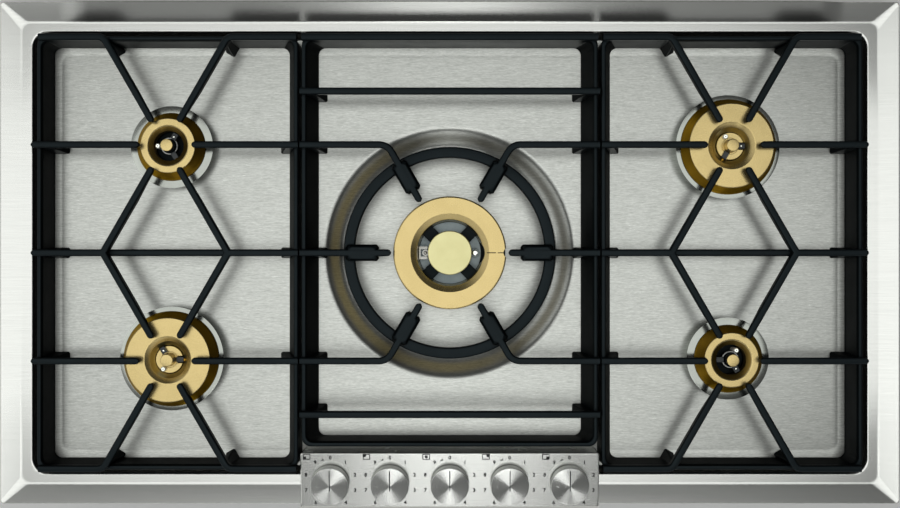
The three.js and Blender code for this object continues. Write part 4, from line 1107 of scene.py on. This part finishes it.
def makeCup(b, c, z0, turned):
    lipOuter, lipInner = c["skirt"] - 1.5, c["skirt"] - 5.0
    steep, flat = corner["steep"], corner["flat"]
    foot, lip = corner["cupFoot"], corner["cupLip"]
    profile = [(0, foot), (c["hole"] - 0.3, foot), (c["hole"], foot + 0.7), (c["hole"], 0.3)]
    profile += [(c["collar"] - 4.0, 0.3), (c["collar"] - 3.6, 1.4)]
    up, out = polar(flat)
    radius = (c["collar"] - lipOuter) / (polar(steep)[1] - out)
    profile += arc(lipOuter - radius * out, lip - radius * up, radius, 90 - steep, 90 - flat, 12)
    profile += [(lipInner, lip), (lipInner, 3.0)] + corner["cupInside"]
    thing = turnedPiece(
        "cup_" + b["name"], profile, b["at"], z0, 112, [cupAluminium, mattEnamel], "cup_aluminium",
        ["burner_cup_" + b["name"]], **turned,
    )
    paintRound(thing, 1, b["at"], z0, lambda r, z: r < lipInner + 0.05 and z < 25)


def makeRing(b, c, z0, turned):
    top, throat, crest = corner["ringTop"], c["throat"], c["crestOuter"]
    profile = [(c["skirt"] - 0.5, 20.5), (c["skirt"], 21.0), (c["skirt"] - c["skirtRound"], 22.0)]
    profile += arc(crest - 0.4, top - 1.0, 1.0, c["outerStart"], 90, 5)
    centre, radius, end, steps = c["innerRound"]
    profile += arc(centre, top - radius, radius, 90, end, steps)
    # turned steps run down the inner cone to the throat
    high = top - c["innerDrop"]
    for step in range(4):
        r = c["innerEdge"] + (throat - c["innerEdge"]) * step / 4
        z = high + (c["throatLevel"] - high) * step / 4
        profile += [(r, z), (r - 0.35, z - c["stepDrop"])]
    profile += [(throat, c["throatLevel"]), (throat, 21.5), (throat + 1.5, 21.5)]
    profile.append((throat + 1.6, c["throatLevel"] - 3))
    profile += [(c["crestInner"] + 1.2, top - 6.0), (crest - 1.2, top - 6.0), (c["skirt"] - 5.0, 20.0)]
    profile += [(c["skirt"] - 4.6, 19.3), (c["skirt"] - 1.6, 19.3)]
    thing = turnedPiece(
        "ring_" + b["name"], profile, b["at"], z0, 112, [castBrass, turnedBrass, c["innerMetal"]],
        "ring_brass",
        ["burner_ring_" + b["name"]], **turned,
    )
    paintRound(thing, 1, b["at"], z0, lambda r, z: r > crest and z < top - 3.0)
    paintRound(thing, 2, b["at"], z0, lambda r, z: r < c["innerEdge"] + 0.1)


# a crown of small teeth between cup and ring, the flame comes out between them
def makePorts(b, c, z0, turned):
    half = [side * mm / 2 for side in corner["portSize"]]
    bm = bmesh.new()
    bmesh.ops.create_cube(bm, size=2.0)
    for v in bm.verts:
        v.co = Vector([side * h for side, h in zip(v.co, half)])
    thing = newObject(bm, "ports_" + b["name"])
    multiply(thing, {
        "Count": corner["ports"], "Start": place(*b["at"], z0 + corner["portLevel"]),
        "Turn": math.tau / corner["ports"], "Radius": (c["skirt"] - 3.0) * mm, "On a ring": True,
        "Finish": turnedBrass,
    })
    finishPiece(thing, [turnedBrass], "ring_brass", axis="turned", centre=turned["centre"])


def makeCap(b, c, z0, turned):
    top = corner["capTop"]
    profile = c["capFoot"] + [(6.2, top - 0.8), (5.95, top - 0.2), (5.5, top), (0, top)]
    notches = [
        shapes((block, *lifted(corner["notch"], z0), b[part], b["at"]))
        for part in ("igniter", "sensor", "clip") if b["big"]
    ]
    thing = turnedPiece(
        "cap_" + b["name"], profile, b["at"], z0, 72, [castBrass, mattEnamel, knobSide], "ring_brass",
        ["burner_cap_" + b["name"]], notches, **turned,
    )
    if not b["big"]:
        paintRound(thing, 1, b["at"], z0, lambda r, z: z < top - 1.5)
        paintRound(thing, 2, b["at"], z0, lambda r, z: r > 7.1 and 28 < z < 31)


# igniter, flame sensor and spring clip round the centre cap
def makeArms(b, z0):
    name, arm = b["name"], corner["arm"]
    igniter, sensor = polar(b["igniter"], arm, b["at"]), polar(b["sensor"], arm, b["at"])
    thing = turnedPiece(
        "igniter_" + name, corner["igniter"], igniter, z0, 32, [whiteCeramic, polishedAluminium],
        "igniter_ceramic",
        ["igniter_" + name],
    )
    paintFaces(thing, 1, lambda x, y, z: z > z0 + 33.7)
    turnedPiece("igniter_pin_" + name, corner["igniterPin"], igniter, z0, 16, [knobSide], "sensor_steel")
    body = shapes(
        (block, *lifted(corner["sensorBox"], z0), b["sensor"], b["at"], 0.6),
        (lathe, corner["sensorRod"], sensor, z0, 16),
    )
    makePiece("sensor_" + name, body, [darkSteel], "sensor_steel", ["flame_sensor_" + name])
    tip = polar(b["sensor"], arm - 0.4, b["at"])
    turnedPiece("sensor_tip_" + name, corner["sensorTip"], tip, z0, 24, [polishedAluminium], "sensor_steel")
    clip = shapes((block, *lifted(corner["clipBox"], z0), b["clip"], b["at"], 0.6))
    makePiece("clip_" + name, clip, [darkSteel], "base_iron")
    spot = polar(b["clip"], corner["clipBall"], b["at"])
    ball = [(0, 28.7)] + arc(0, 30.5, 1.8, -75, 75, 10) + [(0, 32.3)]
    home = place(*spot, z0)
    turnedPiece(
        "clip_ball_" + name, ball, spot, z0, 24, [turnedBrass], "ring_brass", axis="turned", centre=home
    )


for b in burners:
    kind = corner["big"] if b["big"] else corner["small"]
    z0 = level["floor"]
    turned = {"sharp": 30, "axis": "turned", "centre": place(*b["at"], z0)}
    makeCup(b, kind, z0, turned)
    makeRing(b, kind, z0, turned)
    makePorts(b, kind, z0, turned)
    makeCap(b, kind, z0, turned)
    makeArms(b, z0)
print("corner burners made")

# the wok burner, with heights from the dish and profiles of (radius, height)
wok = {
    "top": 47.5, "ring": 56.5, "ringFoot": 24.3,
    "ringSeat": 6.7,  # from the top down to the underside of the ring's flat
    "seatOuter": 47.5, "edgeRound": 1.7, "flat": 39.2, "throat": 31.8, "bevel": 3.9, "cap": 22.0,
    "capThick": 7.2, "capRound": 0.9,
    "base": [
        (0, -20.7), (21.8, -20.7), (22.0, -20.4), (22.0, 0.3), (48.0, 0.3), (49.5, 2.0), (52.0, 7.0),
        (52.0, 23.4),
        (51.4, 24.0), (46.0, 24.0), (46.0, 18.0), (31.5, 18.0), (19.0, 18.0), (19.0, 40.0), (0, 40.0),
    ],
    "spoke": ((18.0, -6.5, 17.5), (45.5, 6.5, 30.0)),
    "key": ((50.0, -5.6, 22.0), (55.6, 5.6, 44.0)),
    "keyhole": (20.6, 14.5),  # distance from the axis and radius
    "notch": (59.0, 5.4),
    "slit": 0.9, "slitDepth": 1.6,
    "slitParts": ((31.8, 46.2), (47.8, 59.0)),
    "arm": 25.5,
    "igniter": [(0, 9.3), (3.0, 9.3), (3.0, 37.2), (2.6, 37.8), (1.8, 38.0), (0, 38.0)],
    "collar": [(3.2, 18.1), (4.8, 18.1), (4.8, 21.0), (4.4, 21.4), (3.2, 21.4)],
    "bracket": (
        ((-31.2, -6.5, 27.0), (-29.4, 6.5, 29.0)), ((-29.5, -6.5, 27.0), (-22.5, -3.6, 29.0)),
        ((-29.5, 3.6, 27.0), (-22.5, 6.5, 29.0)),
    ),
    "sensorAt": (-24.6, 0),
    "sensorTube": [(1.9, 26.5), (3.3, 26.5), (3.3, 29.6), (1.9, 29.6)],
    "sensorRod": [(0, 9.3), (1.6, 9.3), (1.6, 29.0), (0, 29.6)],
}


def makeWok():
    w = wok
    z0, axis, top = level["dish"], (0, 0), w["top"]
    turned = {"sharp": 30, "axis": "turned", "centre": place(0, 0, z0)}
    thing = turnedPiece(
        "wok_base", w["base"], axis, z0, 112, [mattEnamel, greyAluminium], "base_iron", ["wok_burner_base"],
        sharp=30
    )
    paintRound(thing, 1, axis, z0, lambda r, z: 19.2 < r < 31.6 and 10 < z < 18.2)
    spokes = [(block, *lifted(w["spoke"], z0), angle, axis, 1.2) for angle in (45, 135, 225, 315)]
    spokes.append((block, *lifted(w["key"], z0), 0, axis, 0.5))
    makePiece("wok_spokes", shapes(*spokes), [mattEnamel], "base_iron")

    ring, throat, foot = w["ring"], w["throat"], w["ringFoot"]
    seat, bevel = top - w["ringSeat"], top - w["bevel"]
    profile = [(ring - 2, foot), (ring - 0.6, foot + 0.9), (ring, foot + 2.3), (ring, top - 2.0)]
    profile += arc(ring - w["edgeRound"], top - w["edgeRound"], w["edgeRound"], 10, 90, 6)
    profile += [(w["flat"] + 0.25, top), (w["flat"] - 0.1, top - 0.2), (throat + 1.9, bevel)]
    profile += [(throat + 1.5, bevel - 0.5), (throat, foot), (throat + 6.7, foot), (throat + 6.7, seat)]
    profile += [(w["seatOuter"], seat), (w["seatOuter"], foot)]
    half, under = w["slit"] / 2, top - w["slitDepth"]
    cuts = [
        shapes((lathe, [(0, 20), (radius, 20), (radius, 52), (0, 52)], (x, 0), z0, 64))
        for x, radius in (w["keyhole"], w["notch"])
    ]
    cuts += [
        shapes((block, (x0, -half, z0 + under), (x1, half, z0 + top + 1))) for x0, x1 in w["slitParts"]
    ]
    thing = turnedPiece(
        "wok_ring", profile, axis, z0, 144, [castBrass, turnedBrass, mattEnamel], "ring_brass",
        ["wok_outer_ring"],
        cuts, **turned,
    )
    # painted shade: the walls of the slits in the ring's top take the matt black enamel
    paintFaces(thing, 2, lambda x, y, z: abs(y) < half + 0.02 and x > throat and -3 < z - z0 - top < -0.1)

    cap, low, edge = w["cap"], top - w["capThick"], w["capRound"]
    profile = [(0, low), (cap - 2, low), (cap, low + 2), (cap, top - edge)]
    profile += arc(cap - edge, top - edge, edge, 20, 90, 4) + [(0, top)]
    turnedPiece("wok_cap", profile, axis, z0, 112, [paleBrass], "cap_brass", ["wok_inner_cap"], **turned)

    arm = (w["arm"], 0)
    thing = turnedPiece(
        "wok_igniter_disc", w["igniter"], arm, z0, 40, [whiteCeramic, polishedAluminium], "igniter_ceramic",
        ["wok_igniter"],
    )
    paintFaces(thing, 1, lambda x, y, z: z > z0 + 37.5)
    turnedPiece("wok_igniter_collar", w["collar"], arm, z0, 40, [greyAluminium], "sensor_steel")
    bracket = [(block, *lifted(box, z0), 0, axis, 0.3) for box in w["bracket"]]
    bracket += [
        (lathe, w["sensorTube"], w["sensorAt"], z0, 32), (lathe, w["sensorRod"], w["sensorAt"], z0, 16)
    ]
    makePiece("wok_sensor_bracket", shapes(*bracket), [zincTube], "sensor_steel", ["wok_flame_sensor"])


makeWok()
print("wok burner made")

kept = {
    "rim_seal": sealRubber, "gas_manifold": zincTube, "gas_inlet": zincTube, "control_unit": unitPlastic
}
for name in knobNames:
    kept["knob_spindle_" + name] = knobSide
    kept["valve_plug_" + name] = turnedBrass
    kept["valve_body_" + name] = dieCast
    kept["pipe_" + name] = drawnAluminium
for node, material in kept.items():
    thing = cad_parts[node]
    thing.data.materials.clear()
    thing.data.materials.append(material)
print("kept parts finished")
